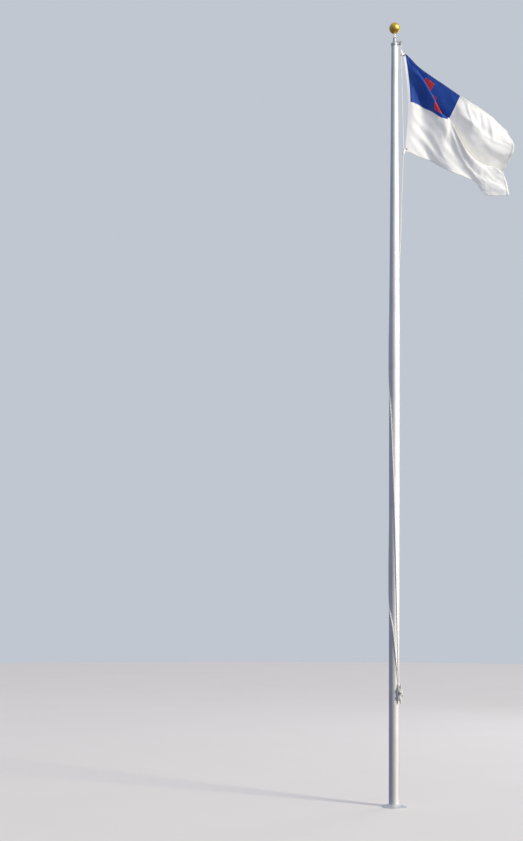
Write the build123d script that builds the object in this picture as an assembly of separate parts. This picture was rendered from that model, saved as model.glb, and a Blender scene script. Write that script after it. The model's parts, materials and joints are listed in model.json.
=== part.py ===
from build123d import *

import os
from functools import cache
from math import ceil, cos, pi, radians, sin, sqrt, tan

# A tapered aluminium flagpole from ground level up: a flash collar at its foot, a horn cleat with
# the halyard wound on it, a revolving truck with one sheave, a ball on a spindle, and a flag that
# hangs from two snap hooks on the halyard.
# Millimetres. +Z runs up the pole, the origin is on its axis at ground level, and the flag's fly
# points to +X. Azimuths are degrees about +Z from +X.

# Pole
POLE_HEIGHT = 9144.0
STRAIGHT_HEIGHT = 5791.0
BUTT_DIAMETER = 127.0
TOP_DIAMETER = 76.2
POLE_WALL = 3.2

# Flash collar
COLLAR_DIAMETER = 305.0
COLLAR_HEIGHT = 30.0
COLLAR_SHEET = 2.5
COLLAR_SHOULDER_HEIGHT = 16.0
COLLAR_SHOULDER_SHARE = 0.42
COLLAR_DOME = 0.62
COLLAR_THROAT = 0.2

# Clearances
SEAT_GAP = 0.3
RUNNING_GAP = 0.05

# Halyard
ROPE_DIAMETER = 8.0
SPLIT_HEIGHT = 1750.0
ROPE_JOINT_GAP = 0.6
ROPE_END_GAP = 0.4
HUG_STEP = 30.0

# Truck
PLUG_DEPTH = 90.0
PLUG_FLANGE_DIAMETER = 79.0
PLUG_FLANGE_THICKNESS = 7.0
STEM_DIAMETER = 24.0
RACE_THICKNESS = 5.0
RACE_DIAMETER = 62.0
HEAD_HEIGHT = 80.0
HEAD_BASE_DIAMETER = 70.0
HEAD_WAIST_DIAMETER = 52.0
HEAD_NECK_DIAMETER = 36.0
HEAD_CHAMFER = 1.5
HEAD_BAND = 9.0
HEAD_SHOULDER_SHARE = 0.42
SHEAVE_OFFSET = 61.0
SHEAVE_RISE = 24.0
SHEAVE_DIAMETER = 38.0
SHEAVE_WIDTH = 13.0
SHEAVE_SIDE_GAP = 0.6
CHEEK_THICKNESS = 6.0
CHEEK_DIAMETER = 34.0
CHEEK_FOOT_RISE = 4.0
CHEEK_CROWN = 8.0
PIN_DIAMETER = 9.0
PIN_HEAD_DIAMETER = 15.0
PIN_HEAD_THICKNESS = 3.0
HOOD_THICKNESS = 4.0
HOOD_ROPE_GAP = 4.0
HOOD_FRONT_ANGLE = 25.0
HOOD_BACK_ANGLE = 150.0
LUG_DEPTH = 16.0
LUG_WIDTH = 20.0
LUG_HEIGHT = 22.0
LUG_RISE = 15.0

# Finial
COLLAR_NUT_DIAMETER = 34.0
COLLAR_NUT_HEIGHT = 10.0
ROD_DIAMETER = 20.0
ROD_LENGTH = 58.0
BALL_DIAMETER = 127.0
BALL_WALL = 1.5
BALL_BOSS_DIAMETER = 30.0
BALL_BOSS_HEIGHT = 22.0

# Cleat
CLEAT_LENGTH = 229.0
CLEAT_HEIGHT = 1343.0
CLEAT_AZIMUTH = -50.0
CLEAT_WIDTH = 24.0
CLEAT_TIP_WIDTH = 13.0
CLEAT_PAD_LENGTH = 96.0
CLEAT_PAD_WIDTH = 34.0
CLEAT_PAD_DEPTH = 9.0
CLEAT_STEM_LENGTH = 52.0
CLEAT_THROAT_DEPTH = 26.0
CLEAT_HORN_DEPTH = 17.0
CLEAT_TIP_RISE = 16.0
WRAP_LENGTH = 165.0
WRAP_WIDTH = 58.0
WRAP_GAP = 0.6

# Flag: its cut, the cross in its canton, and how fine its facets are
FLAG_FLY = 1829.0
FLAG_HOIST = 1219.0
FLAG_THICKNESS = 1.2
FLAG_DROP = 88.0
HEADER_WIDTH = 30.0
HEADER_THICKNESS = 3.0
SEAM_GAP = 1.0
CANTON_FLY = 832.0
CANTON_HOIST = 609.5
CROSS_OUT = 416.0
CROSS_DOWN = 55.0
CROSS_HEIGHT = 505.0
CROSS_SPAN = 320.0
CROSS_ARM_DOWN = 125.0
CROSS_ARM_WIDTH = 112.0
CROSS_UPRIGHT_WIDTH = 130.0
FLY_FACET = 80.0
HOIST_FACET = 48.0
GROMMET_DIAMETER = 22.0
GROMMET_HOLE_DIAMETER = 12.0
GROMMET_THICKNESS = 6.0
GROMMET_INSET = 26.0

# Snap hooks
SNAP_WIRE = 5.0
SNAP_HOOK_RADIUS = 10.0
SNAP_SHANK_DIAMETER = 8.0
SNAP_SHANK_LENGTH = 8.0
SNAP_SWIVEL_DIAMETER = 13.0
SNAP_SWIVEL_LENGTH = 3.0


def turned(points):
    """A solid of revolution about the pole's axis from (radius, height) points."""
    return revolve(Plane.XZ * make_face(Polyline(*points, close=True)), Axis.Z)


def pole_radius(height):
    """The pole's outer radius at a height: straight, then evenly tapered."""
    share = max(0.0, height - STRAIGHT_HEIGHT) / (POLE_HEIGHT - STRAIGHT_HEIGHT)
    return (BUTT_DIAMETER + (TOP_DIAMETER - BUTT_DIAMETER) * share) / 2


def save(shape, name):
    """Write one sub-part."""
    export_step(shape, f"parts/{name}.step")


# The pole
pole_shaft = turned(
    [
        (BUTT_DIAMETER / 2 - POLE_WALL, 0),
        (BUTT_DIAMETER / 2, 0),
        (BUTT_DIAMETER / 2, STRAIGHT_HEIGHT),
        (TOP_DIAMETER / 2, POLE_HEIGHT),
        (TOP_DIAMETER / 2 - POLE_WALL, POLE_HEIGHT),
        (BUTT_DIAMETER / 2 - POLE_WALL, STRAIGHT_HEIGHT),
    ]
)


# The flash collar: a spun sheet that flares from a neck round the pole to a brim on the ground
def collar_radii(inset):
    """The collar's brim, shoulder and neck radii, drawn in from its outer face."""
    brim = COLLAR_DIAMETER / 2 - inset
    neck = BUTT_DIAMETER / 2 + SEAT_GAP + COLLAR_SHEET - inset
    return brim, neck + (brim - neck) * COLLAR_SHOULDER_SHARE, neck


def collar_throat(shoulder, neck, inset):
    """The hollow curve from the collar's shoulder up to its neck."""
    low = COLLAR_SHOULDER_HEIGHT - inset
    high = COLLAR_HEIGHT - inset
    middle = ((shoulder + neck) / 2, low + (high - low) * COLLAR_THROAT)
    return ThreePointArc((shoulder, low), middle, (neck, high))


def flash_collar_shape():
    """The collar as a revolved shell: a domed skirt, a shoulder and a neck round the pole."""
    brim, shoulder, neck = collar_radii(0.0)
    inner_brim, inner_shoulder, inner_neck = collar_radii(COLLAR_SHEET)
    dome = COLLAR_SHEET + (COLLAR_SHOULDER_HEIGHT - COLLAR_SHEET) * COLLAR_DOME
    section = [
        Line((brim, 0), (brim, COLLAR_SHEET)),
        ThreePointArc(
            (brim, COLLAR_SHEET), ((brim + shoulder) / 2, dome), (shoulder, COLLAR_SHOULDER_HEIGHT)
        ),
        collar_throat(shoulder, neck, 0.0),
        Line((neck, COLLAR_HEIGHT), (inner_neck, COLLAR_HEIGHT)),
        Line((inner_neck, COLLAR_HEIGHT), (inner_neck, COLLAR_HEIGHT - COLLAR_SHEET)),
        collar_throat(inner_shoulder, inner_neck, COLLAR_SHEET),
        Line((inner_shoulder, COLLAR_SHOULDER_HEIGHT - COLLAR_SHEET), (inner_brim, 0)),
        Line((inner_brim, 0), (brim, 0)),
    ]
    return revolve(Plane.XZ * make_face(section), Axis.Z)


flash_collar = flash_collar_shape()


# The truck: a plug in the pole's top with a stem, and a head that turns on it
FLANGE_TOP = POLE_HEIGHT + PLUG_FLANGE_THICKNESS
HEAD_BASE = FLANGE_TOP + RACE_THICKNESS
HEAD_TOP = HEAD_BASE + HEAD_HEIGHT
STEM_TOP = HEAD_TOP + COLLAR_NUT_HEIGHT / 2

plug_radius = TOP_DIAMETER / 2 - POLE_WALL - SEAT_GAP
truck_plug = turned(
    [
        (0, POLE_HEIGHT - PLUG_DEPTH),
        (plug_radius - 3, POLE_HEIGHT - PLUG_DEPTH),
        (plug_radius - 1, POLE_HEIGHT - PLUG_DEPTH + 12),
        (plug_radius - 1, POLE_HEIGHT),
        (PLUG_FLANGE_DIAMETER / 2 - 1, POLE_HEIGHT),
        (PLUG_FLANGE_DIAMETER / 2, POLE_HEIGHT + 1),
        (PLUG_FLANGE_DIAMETER / 2, FLANGE_TOP - 2),
        (PLUG_FLANGE_DIAMETER / 2 - 2, FLANGE_TOP),
        (STEM_DIAMETER / 2, FLANGE_TOP),
        (STEM_DIAMETER / 2, STEM_TOP),
        (0, STEM_TOP),
    ]
)

bearing_race = turned(
    [
        (STEM_DIAMETER / 2 + SEAT_GAP, FLANGE_TOP),
        (RACE_DIAMETER / 2, FLANGE_TOP),
        (RACE_DIAMETER / 2, HEAD_BASE - SEAT_GAP),
        (STEM_DIAMETER / 2 + SEAT_GAP, HEAD_BASE - SEAT_GAP),
    ]
)

SHEAVE_HEIGHT = HEAD_BASE + SHEAVE_RISE
GROOVE_RADIUS = SHEAVE_DIAMETER / 2 - ROPE_DIAMETER / 2 + 1
CHEEK_INNER = SHEAVE_WIDTH / 2 + SHEAVE_SIDE_GAP
CHEEK_OUTER = CHEEK_INNER + CHEEK_THICKNESS


def about_axle(radius, half_width):
    """A disc about the sheave's axle."""
    return Pos(SHEAVE_OFFSET, 0, SHEAVE_HEIGHT) * Rot(90, 0, 0) * Cylinder(radius, 2 * half_width)


def truck_head_shape():
    """The bell with a clevis of two cheeks that holds the sheave beside the pole."""
    base = HEAD_BASE_DIAMETER / 2
    waist = HEAD_WAIST_DIAMETER / 2
    neck = HEAD_NECK_DIAMETER / 2
    bore = STEM_DIAMETER / 2 + RUNNING_GAP
    band = HEAD_BASE + HEAD_BAND
    shoulder = HEAD_BASE + HEAD_HEIGHT * HEAD_SHOULDER_SHARE
    section = [
        Line((bore, HEAD_BASE), (base - HEAD_CHAMFER, HEAD_BASE)),
        Line((base - HEAD_CHAMFER, HEAD_BASE), (base, HEAD_BASE + HEAD_CHAMFER)),
        Line((base, HEAD_BASE + HEAD_CHAMFER), (base, band)),
        ThreePointArc(
            (base, band),
            (base - (base - waist) * 0.32, band + (shoulder - band) * 0.55),
            (waist, shoulder),
        ),
        ThreePointArc(
            (waist, shoulder),
            (neck + (waist - neck) * 0.35, shoulder + (HEAD_TOP - shoulder) * 0.35),
            (neck, HEAD_TOP),
        ),
        Line((neck, HEAD_TOP), (bore, HEAD_TOP)),
        Line((bore, HEAD_TOP), (bore, HEAD_BASE)),
    ]
    bell = revolve(Plane.XZ * make_face(section), Axis.Z)
    cheek_radius = CHEEK_DIAMETER / 2
    cheek_end = SHEAVE_OFFSET + cheek_radius
    plate = Polyline(
        (0, HEAD_BASE + CHEEK_FOOT_RISE),
        (SHEAVE_OFFSET - cheek_radius / 3, SHEAVE_HEIGHT - cheek_radius),
        (cheek_end - cheek_radius / 6, SHEAVE_HEIGHT - cheek_radius / 2),
        (cheek_end, SHEAVE_HEIGHT),
        (cheek_end, SHEAVE_HEIGHT + cheek_radius * 0.8),
        (SHEAVE_OFFSET, SHEAVE_HEIGHT + cheek_radius + CHEEK_CROWN),
        (0, SHEAVE_HEIGHT + cheek_radius + 2 * CHEEK_CROWN),
        close=True,
    )
    cheek = extrude(Plane.XZ * make_face(plate), amount=CHEEK_THICKNESS)
    cheeks = Pos(0, -CHEEK_INNER, 0) * cheek + Pos(0, CHEEK_OUTER, 0) * cheek
    lug = Pos(-base, 0, HEAD_BASE + LUG_RISE) * Box(LUG_DEPTH, LUG_WIDTH, LUG_HEIGHT)
    well = about_axle(SHEAVE_DIAMETER / 2, CHEEK_INNER)
    well += Pos(SHEAVE_OFFSET, 0, HEAD_BASE) * Box(SHEAVE_DIAMETER, 2 * CHEEK_INNER, 2 * SHEAVE_RISE)
    stem_hole = Pos(0, 0, HEAD_BASE + HEAD_HEIGHT / 2) * Cylinder(bore, HEAD_HEIGHT * 1.2)
    pin_hole = about_axle(PIN_DIAMETER / 2, CHEEK_OUTER * 1.5)
    lug = fillet(lug.edges().filter_by(Axis.Z), LUG_DEPTH / 3)
    return bell + cheeks + lug - well - stem_hole - pin_hole


truck_head = truck_head_shape()


def hood_shape():
    """The rope guard: a curved lid over the sheave, seated between the cheeks' outer faces."""
    inner = GROOVE_RADIUS + ROPE_DIAMETER + HOOD_ROPE_GAP
    outer = inner + HOOD_THICKNESS
    centre = (SHEAVE_OFFSET, SHEAVE_HEIGHT)

    def at(radius, angle):
        return (centre[0] + radius * cos(radians(angle)), centre[1] + radius * sin(radians(angle)))

    start = HOOD_FRONT_ANGLE
    end = HOOD_BACK_ANGLE
    middle = (start + end) / 2
    section = [
        ThreePointArc(at(inner, start), at(inner, middle), at(inner, end)),
        Line(at(inner, end), at(outer, end)),
        ThreePointArc(at(outer, end), at(outer, middle), at(outer, start)),
        Line(at(outer, start), at(inner, start)),
    ]
    width = 2 * (CHEEK_INNER - SEAT_GAP)
    return extrude(Plane.XZ * make_face(section), amount=width / 2, both=True)


sheave_hood = hood_shape()

sheave_pin = about_axle(PIN_DIAMETER / 2 - RUNNING_GAP, CHEEK_OUTER + 1)
for side in (-1, 1):
    sheave_pin += (
        Pos(SHEAVE_OFFSET, side * (CHEEK_OUTER + SEAT_GAP + PIN_HEAD_THICKNESS / 2), SHEAVE_HEIGHT)
        * Rot(90, 0, 0)
        * Cylinder(PIN_HEAD_DIAMETER / 2, PIN_HEAD_THICKNESS)
    )


def sheave_wheel_shape():
    """A grooved wheel with a hub, turned about its axle."""
    rim = SHEAVE_DIAMETER / 2
    half = SHEAVE_WIDTH / 2
    bore = PIN_DIAMETER / 2
    groove = ROPE_DIAMETER / 2 + SEAT_GAP
    section = [
        Line((bore, -half), (bore + 4, -half)),
        Line((bore + 4, -half), (bore + 5, -half + 1.5)),
        Line((bore + 5, -half + 1.5), (rim - 5, -half + 1.5)),
        Line((rim - 5, -half + 1.5), (rim - 4, -half)),
        Line((rim - 4, -half), (rim, -half)),
        Line((rim, -half), (GROOVE_RADIUS, -groove)),
        ThreePointArc((GROOVE_RADIUS, -groove), (GROOVE_RADIUS - groove, 0), (GROOVE_RADIUS, groove)),
        Line((GROOVE_RADIUS, groove), (rim, half)),
        Line((rim, half), (rim - 4, half)),
        Line((rim - 4, half), (rim - 5, half - 1.5)),
        Line((rim - 5, half - 1.5), (bore + 5, half - 1.5)),
        Line((bore + 5, half - 1.5), (bore + 4, half)),
        Line((bore + 4, half), (bore, half)),
        Line((bore, half), (bore, -half)),
    ]
    wheel = revolve(Plane.XZ * make_face(section), Axis.Z)
    return Pos(SHEAVE_OFFSET, 0, SHEAVE_HEIGHT) * Rot(90, 0, 0) * wheel


sheave_wheel = sheave_wheel_shape()

# The finial: a nut, a rod and a ball of two spun halves
NUT_TOP = HEAD_TOP + SEAT_GAP + COLLAR_NUT_HEIGHT
stem_nut = Pos(0, 0, HEAD_TOP + SEAT_GAP + COLLAR_NUT_HEIGHT / 2) * extrude(
    RegularPolygon(COLLAR_NUT_DIAMETER / 2, 6), amount=COLLAR_NUT_HEIGHT / 2, both=True
)
stem_nut -= Pos(0, 0, HEAD_TOP) * Cylinder(STEM_DIAMETER / 2 + RUNNING_GAP, 2 * (STEM_TOP - HEAD_TOP))
ROD_BASE = NUT_TOP
ROD_TOP = ROD_BASE + ROD_LENGTH
finial_rod = Pos(0, 0, (ROD_BASE + ROD_TOP) / 2) * Cylinder(ROD_DIAMETER / 2, ROD_LENGTH)
BALL_CENTRE = ROD_TOP + sqrt((BALL_DIAMETER / 2) ** 2 - (BALL_BOSS_DIAMETER / 2) ** 2)


def ball_half(side):
    """One half of the ball's shell, above or below its seam; the lower one has a boss."""
    ball = Pos(0, 0, BALL_CENTRE) * (Sphere(BALL_DIAMETER / 2) - Sphere(BALL_DIAMETER / 2 - BALL_WALL))
    half = Pos(0, 0, BALL_CENTRE + side * BALL_DIAMETER / 2) * Box(
        2 * BALL_DIAMETER, 2 * BALL_DIAMETER, BALL_DIAMETER
    )
    shell = ball & half
    if side < 0:
        boss = Pos(0, 0, ROD_TOP + BALL_BOSS_HEIGHT / 2) * Cylinder(
            BALL_BOSS_DIAMETER / 2, BALL_BOSS_HEIGHT
        )
        below_boss = Pos(0, 0, ROD_TOP - BALL_BOSS_HEIGHT) * Cylinder(
            BALL_BOSS_DIAMETER, 2 * BALL_BOSS_HEIGHT
        )
        shell = shell + boss - below_boss
    return shell


ball_lower_half = ball_half(-1)
ball_upper_half = ball_half(1)


# The cleat, built with its length along Z and its pad facing -X, then set on the pole
PAD_FACE = BUTT_DIAMETER / 2 + SEAT_GAP


def cleat_outline(grow):
    """Half of the horns' side view, from the stem to the upper tip, grown all round."""
    throat = PAD_FACE + CLEAT_THROAT_DEPTH
    tip = CLEAT_LENGTH / 2
    stem = CLEAT_STEM_LENGTH / 2
    back = throat + CLEAT_HORN_DEPTH
    tip_inner = (throat + CLEAT_TIP_RISE, tip - 2)
    tip_outer = (throat + CLEAT_TIP_RISE + 8, tip - 4)
    upper = [
        Line((back, 0), (throat - 12, 0)),
        Line((throat - 12, 0), (throat - 12, stem - 4)),
        ThreePointArc((throat - 12, stem - 4), (throat - 4, stem + 5), (throat + 1, stem + 16)),
        ThreePointArc((throat + 1, stem + 16), (throat + 5, (stem + tip) / 2 + 10), tip_inner),
        ThreePointArc(tip_inner, (throat + CLEAT_TIP_RISE + 5, tip), tip_outer),
        ThreePointArc(tip_outer, (back + 4, tip * 0.45), (back, 0)),
    ]
    face = make_face(upper)
    face = face + mirror(face, about=Plane.XZ)
    return offset(face, amount=grow) if grow else face


def cleat_shape(grow=0.0):
    """The cast cleat on its own axes, or the room that it needs when grown."""
    half_width = CLEAT_WIDTH / 2 + grow
    side = extrude(Plane.XZ * cleat_outline(grow), amount=half_width, both=True)
    tip = CLEAT_LENGTH / 2 + grow
    plan = Polyline(
        (-CLEAT_TIP_WIDTH / 2 - grow, -tip),
        (CLEAT_TIP_WIDTH / 2 + grow, -tip),
        (half_width, -tip * 0.3),
        (half_width, tip * 0.3),
        (CLEAT_TIP_WIDTH / 2 + grow, tip),
        (-CLEAT_TIP_WIDTH / 2 - grow, tip),
        (-half_width, tip * 0.3),
        (-half_width, -tip * 0.3),
        close=True,
    )
    taper = extrude(Plane.YZ * make_face(plan), amount=3 * BUTT_DIAMETER)
    horns = side & taper
    stem_length = CLEAT_THROAT_DEPTH + CLEAT_HORN_DEPTH / 2
    stem = Pos(PAD_FACE - 6 + stem_length / 2, 0, 0) * Box(
        stem_length, CLEAT_WIDTH + 2 * grow, CLEAT_STEM_LENGTH - 6 + 2 * grow
    )
    pad = Pos(PAD_FACE + CLEAT_PAD_DEPTH / 2 - 3, 0, 0) * Box(
        CLEAT_PAD_DEPTH + 6 + 2 * grow, CLEAT_PAD_WIDTH + 2 * grow, CLEAT_PAD_LENGTH + 2 * grow
    )
    pad = fillet(pad.edges().filter_by(Axis.X), CLEAT_PAD_WIDTH / 2 - 3)
    saddle = Cylinder(PAD_FACE, 2 * CLEAT_LENGTH)
    return horns + stem + pad - saddle


def on_pole(shape):
    """Turn a shape built at azimuth 0 and height 0 to the cleat's place."""
    return Rot(0, 0, CLEAT_AZIMUTH) * Pos(0, 0, CLEAT_HEIGHT) * shape


cleat_body = on_pole(cleat_shape())


def wraps_shape():
    """The halyard wound on the cleat: the outer shape of its turns round the stem."""
    outer = SlotOverall(WRAP_LENGTH, WRAP_WIDTH)
    depth = CLEAT_THROAT_DEPTH + CLEAT_HORN_DEPTH + 6
    ring = extrude(Plane.YZ * Rot(0, 0, 90) * outer, amount=depth)
    ring = Pos(PAD_FACE, 0, 0) * ring
    pole = Cylinder(PAD_FACE + 1, 2 * CLEAT_LENGTH)
    return ring - cleat_shape(WRAP_GAP) - pole


halyard_wraps = on_pole(wraps_shape())


# The halyard: points are (azimuth, height) where it lies on the pole, or x, y, z where it is free
ROPE_RADIUS = ROPE_DIAMETER / 2


def hug(azimuth, height):
    """A route point from which the rope clears the pole's side by the seat gap."""
    radius = (pole_radius(height) + SEAT_GAP + ROPE_RADIUS) / cos(radians(HUG_STEP / 2))
    return Vector(radius * cos(radians(azimuth)), radius * sin(radians(azimuth)), height)


def bend_radii(points):
    """The largest tangent arc that each corner's two runs allow."""
    radii = []
    for before, corner, after in zip(points, points[1:], points[2:]):
        first = corner - before
        second = after - corner
        shorter = min(first.length, second.length)
        radii.append(0.45 * shorter / tan(radians(first.get_angle(second)) / 2))
    return radii


def rope(points):
    """A tube along a route of straight runs joined by tangent arcs."""
    route = [Vector(*point) if isinstance(point, tuple) else point for point in points]
    if len(route) > 2:
        path = FilletPolyline(*route, radius=bend_radii(route))
    else:
        path = Line(*route)
    section = Plane(origin=path @ 0, z_dir=path % 0) * Circle(ROPE_RADIUS)
    tube = sweep(section, path=path)
    share = tube.volume / (pi * ROPE_RADIUS**2 * path.length)
    print(f"rope {path.length:.0f} mm, volume share {share:.4f}")
    return tube


INNER_LEG = SHEAVE_OFFSET - GROOVE_RADIUS
OUTER_LEG = SHEAVE_OFFSET + GROOVE_RADIUS
halyard_over_sheave = sweep(
    Plane(origin=(INNER_LEG, 0, SHEAVE_HEIGHT), z_dir=(0, 0, 1)) * Circle(ROPE_RADIUS),
    path=ThreePointArc(
        (INNER_LEG, 0, SHEAVE_HEIGHT),
        (SHEAVE_OFFSET, 0, SHEAVE_HEIGHT + GROOVE_RADIUS),
        (OUTER_LEG, 0, SHEAVE_HEIGHT),
    ),
)

# The return leg winds down behind the pole and round its left side to the cleat
RETURN_LEG = [
    (INNER_LEG, 0, SHEAVE_HEIGHT),
    (INNER_LEG, 0, POLE_HEIGHT - 40),
    hug(20, 8930),
    hug(48, 8600),
    hug(74, 7900),
    hug(100, 7000),
    hug(124, 6300),
    hug(150, STRAIGHT_HEIGHT),
    hug(180, 5170),
    hug(206, 4950),
    hug(228, 4700),
    hug(242, 4400),
    hug(254, 4050),
    hug(265, 3690),
    hug(285, 2700),
    hug(303, SPLIT_HEIGHT),
]
halyard_return_leg = rope(RETURN_LEG)

# The flag's drape. Each line is a place along the fly with seven places down the hoist: share of
# the hoist, then how far the cloth lies out, back and down from its top corner
DRAPE_FLY = 1829.0
DRAPE_HOIST = 1219.0
DRAPE = {
    0.0: (
        (0.0, 0, 0, 0),
        (0.012, 3, 0, 15),
        (0.024, 6, 0, 31),
        (0.036, 9, 0, 48),
        (0.06, 13, 0, 77),
        (0.5, 64, 0, 600),
        (1.0, 31, 0, 1199),
    ),
    0.0164: (
        (0.0, 27, 0, 13),
        (0.012, 30, 0, 29),
        (0.024, 33, 0, 45),
        (0.036, 36, 0, 61),
        (0.06, 41, 0, 91),
        (0.5, 84, -20, 604),
        (1.0, 60, 0, 1208),
    ),
    0.115: (
        (0.0, 186, -8, 171),
        (0.03, 174, 0, 198),
        (0.06, 160, 12, 223),
        (0.125, 178, 44, 290),
        (0.19, 219, -20, 310),
        (0.5, 243, 45, 659),
        (1.0, 203, 25, 1265),
    ),
    0.23: (
        (0.0, 351, -20, 300),
        (0.055, 326, -12, 358),
        (0.108, 302, 0, 414),
        (0.25, 298, 75, 546),
        (0.4, 413, -40, 695),
        (0.68, 388, -55, 989),
        (1.0, 333, 70, 1304),
    ),
    0.34: (
        (0.0, 520, -34, 422),
        (0.1, 471, -14, 525),
        (0.2, 425, 12, 624),
        (0.33, 414, 96, 724),
        (0.46, 512, -42, 794),
        (0.72, 482, -80, 1127),
        (1.0, 455, -10, 1393),
    ),
    0.455: (
        (0.0, 684, -50, 545),
        (0.125, 624, -30, 674),
        (0.25, 558, 18, 800),
        (0.38, 500, 92, 876),
        (0.5, 553, -30, 819),
        (0.75, 580, -60, 1159),
        (1.0, 587, -80, 1482),
    ),
    0.66: (
        (0.0, 910, -20, 672),
        (0.22, 854, -100, 970),
        (0.42, 753, 20, 1142),
        (0.49, 733, 75, 1181),
        (0.58, 767, -40, 1229),
        (0.79, 790, -95, 1435),
        (1.0, 846, -60, 1592),
    ),
    0.83: (
        (0.0, 1105, 30, 788),
        (0.205, 1067, -70, 1080),
        (0.49, 973, 60, 1331),
        (0.56, 955, 85, 1391),
        (0.63, 975, 10, 1374),
        (0.83, 980, -90, 1592),
        (1.0, 992, -40, 1747),
    ),
    1.0: (
        (0.0, 1267, 60, 929),
        (0.228, 1332, -60, 1165),
        (0.47, 1257, 75, 1368),
        (0.55, 1213, 100, 1446),
        (0.62, 1183, 25, 1451),
        (0.84, 1237, -110, 1643),
        (1.0, 1242, -200, 1800),
    ),
}

SNAP_HOOK_INNER = sqrt((SNAP_HOOK_RADIUS - SNAP_WIRE / 2) ** 2 - (GROMMET_THICKNESS / 2) ** 2)
SNAP_EYE_RADIUS = ROPE_RADIUS + SEAT_GAP + SNAP_WIRE / 2
SNAP_REACH = (
    SNAP_EYE_RADIUS
    + SNAP_SHANK_LENGTH
    + SNAP_HOOK_RADIUS
    + SNAP_HOOK_INNER
    + GROMMET_HOLE_DIAMETER / 2
    - SEAT_GAP
)
FLAG_CORNER = Vector(OUTER_LEG + SNAP_REACH - HEADER_WIDTH / 2, 0, HEAD_BASE - FLAG_DROP)


def smooth(position, stops, values):
    """The value at a position on a smooth line that passes the values at the stops."""
    last = len(stops) - 1
    index = min(sum(position >= stop for stop in stops[1:-1]), last - 1)

    def rise(at):
        return (values[at + 1] - values[at]) * (1 / (stops[at + 1] - stops[at]))

    def slope(at):
        if at in (0, last):
            return rise(min(at, last - 1))
        before = stops[at] - stops[at - 1]
        after = stops[at + 1] - stops[at]
        return (rise(at - 1) * after + rise(at) * before) * (1 / (before + after))

    width = stops[index + 1] - stops[index]
    share = (position - stops[index]) / width
    near = (1 + 2 * share) * (1 - share) ** 2
    return (
        values[index] * near
        + values[index + 1] * (1 - near)
        + slope(index) * (width * share * (1 - share) ** 2)
        + slope(index + 1) * (width * share**2 * (share - 1))
    )


@cache
def drape_line(fly):
    """The drape's stops and places down the hoist at a share of the fly."""
    along = list(DRAPE)
    lines = list(zip(*DRAPE.values()))
    stops = [smooth(fly, along, [place[0] for place in line]) for line in lines]
    places = [smooth(fly, along, [Vector(*place[1:]) for place in line]) for line in lines]
    return stops, places


def cloth(out, down):
    """The place in space of a point of the flag, given along its fly and down its hoist."""
    lie = smooth(down / FLAG_HOIST, *drape_line(out / FLAG_FLY))
    fly_size = FLAG_FLY / DRAPE_FLY
    return FLAG_CORNER + Vector(lie.X * fly_size, lie.Y * fly_size, -lie.Z * FLAG_HOIST / DRAPE_HOIST)


def cloth_normal(out, down):
    """The cloth's unit normal at a point of the flag."""
    step = 1.0
    along = cloth(min(out + step, FLAG_FLY), down) - cloth(max(out - step, 0), down)
    across = cloth(out, min(down + step, FLAG_HOIST)) - cloth(out, max(down - step, 0))
    return along.cross(across).normalized()


def divided(stops, step):
    """Grid lines through the stops, with the runs between them divided to at most a step."""
    lines = [stops[0]]
    for start, end in zip(stops, stops[1:]):
        count = ceil((end - start) / step)
        lines += [start + (end - start) * (part + 1) / count for part in range(count)]
    return lines


CROSS_LINES = (
    CROSS_OUT - CROSS_SPAN / 2,
    CROSS_OUT - CROSS_UPRIGHT_WIDTH / 2,
    CROSS_OUT + CROSS_UPRIGHT_WIDTH / 2,
    CROSS_OUT + CROSS_SPAN / 2,
)
ARM_TOP = CROSS_DOWN + CROSS_ARM_DOWN
ARM_BOTTOM = ARM_TOP + CROSS_ARM_WIDTH
CROSS_BOTTOM = CROSS_DOWN + CROSS_HEIGHT
FLY_LINES = divided([0, HEADER_WIDTH, *CROSS_LINES, CANTON_FLY, FLAG_FLY], FLY_FACET)
HOIST_LINES = divided(
    [0, CROSS_DOWN, ARM_TOP, ARM_BOTTOM, CROSS_BOTTOM, CANTON_HOIST, FLAG_HOIST], HOIST_FACET
)


def piece_at(out, down):
    """The name of the flag's piece at a point of its cut."""
    aside = abs(out - CROSS_OUT)
    upright = aside < CROSS_UPRIGHT_WIDTH / 2 and CROSS_DOWN < down < CROSS_BOTTOM
    arms = aside < CROSS_SPAN / 2 and ARM_TOP < down < ARM_BOTTOM
    if out < HEADER_WIDTH:
        return "flag_header"
    if upright or arms:
        return "flag_cross"
    if down > CANTON_HOIST:
        return "flag_field_lower"
    return "flag_canton" if out < CANTON_FLY else "flag_field_upper"


def flag_cells():
    """The grid cells of each piece of the flag, by name."""
    pieces = {}
    for column, (left, right) in enumerate(zip(FLY_LINES, FLY_LINES[1:])):
        for row, (top, bottom) in enumerate(zip(HOIST_LINES, HOIST_LINES[1:])):
            name = piece_at((left + right) / 2, (top + bottom) / 2)
            pieces.setdefault(name, set()).add((column, row))
    return pieces


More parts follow.
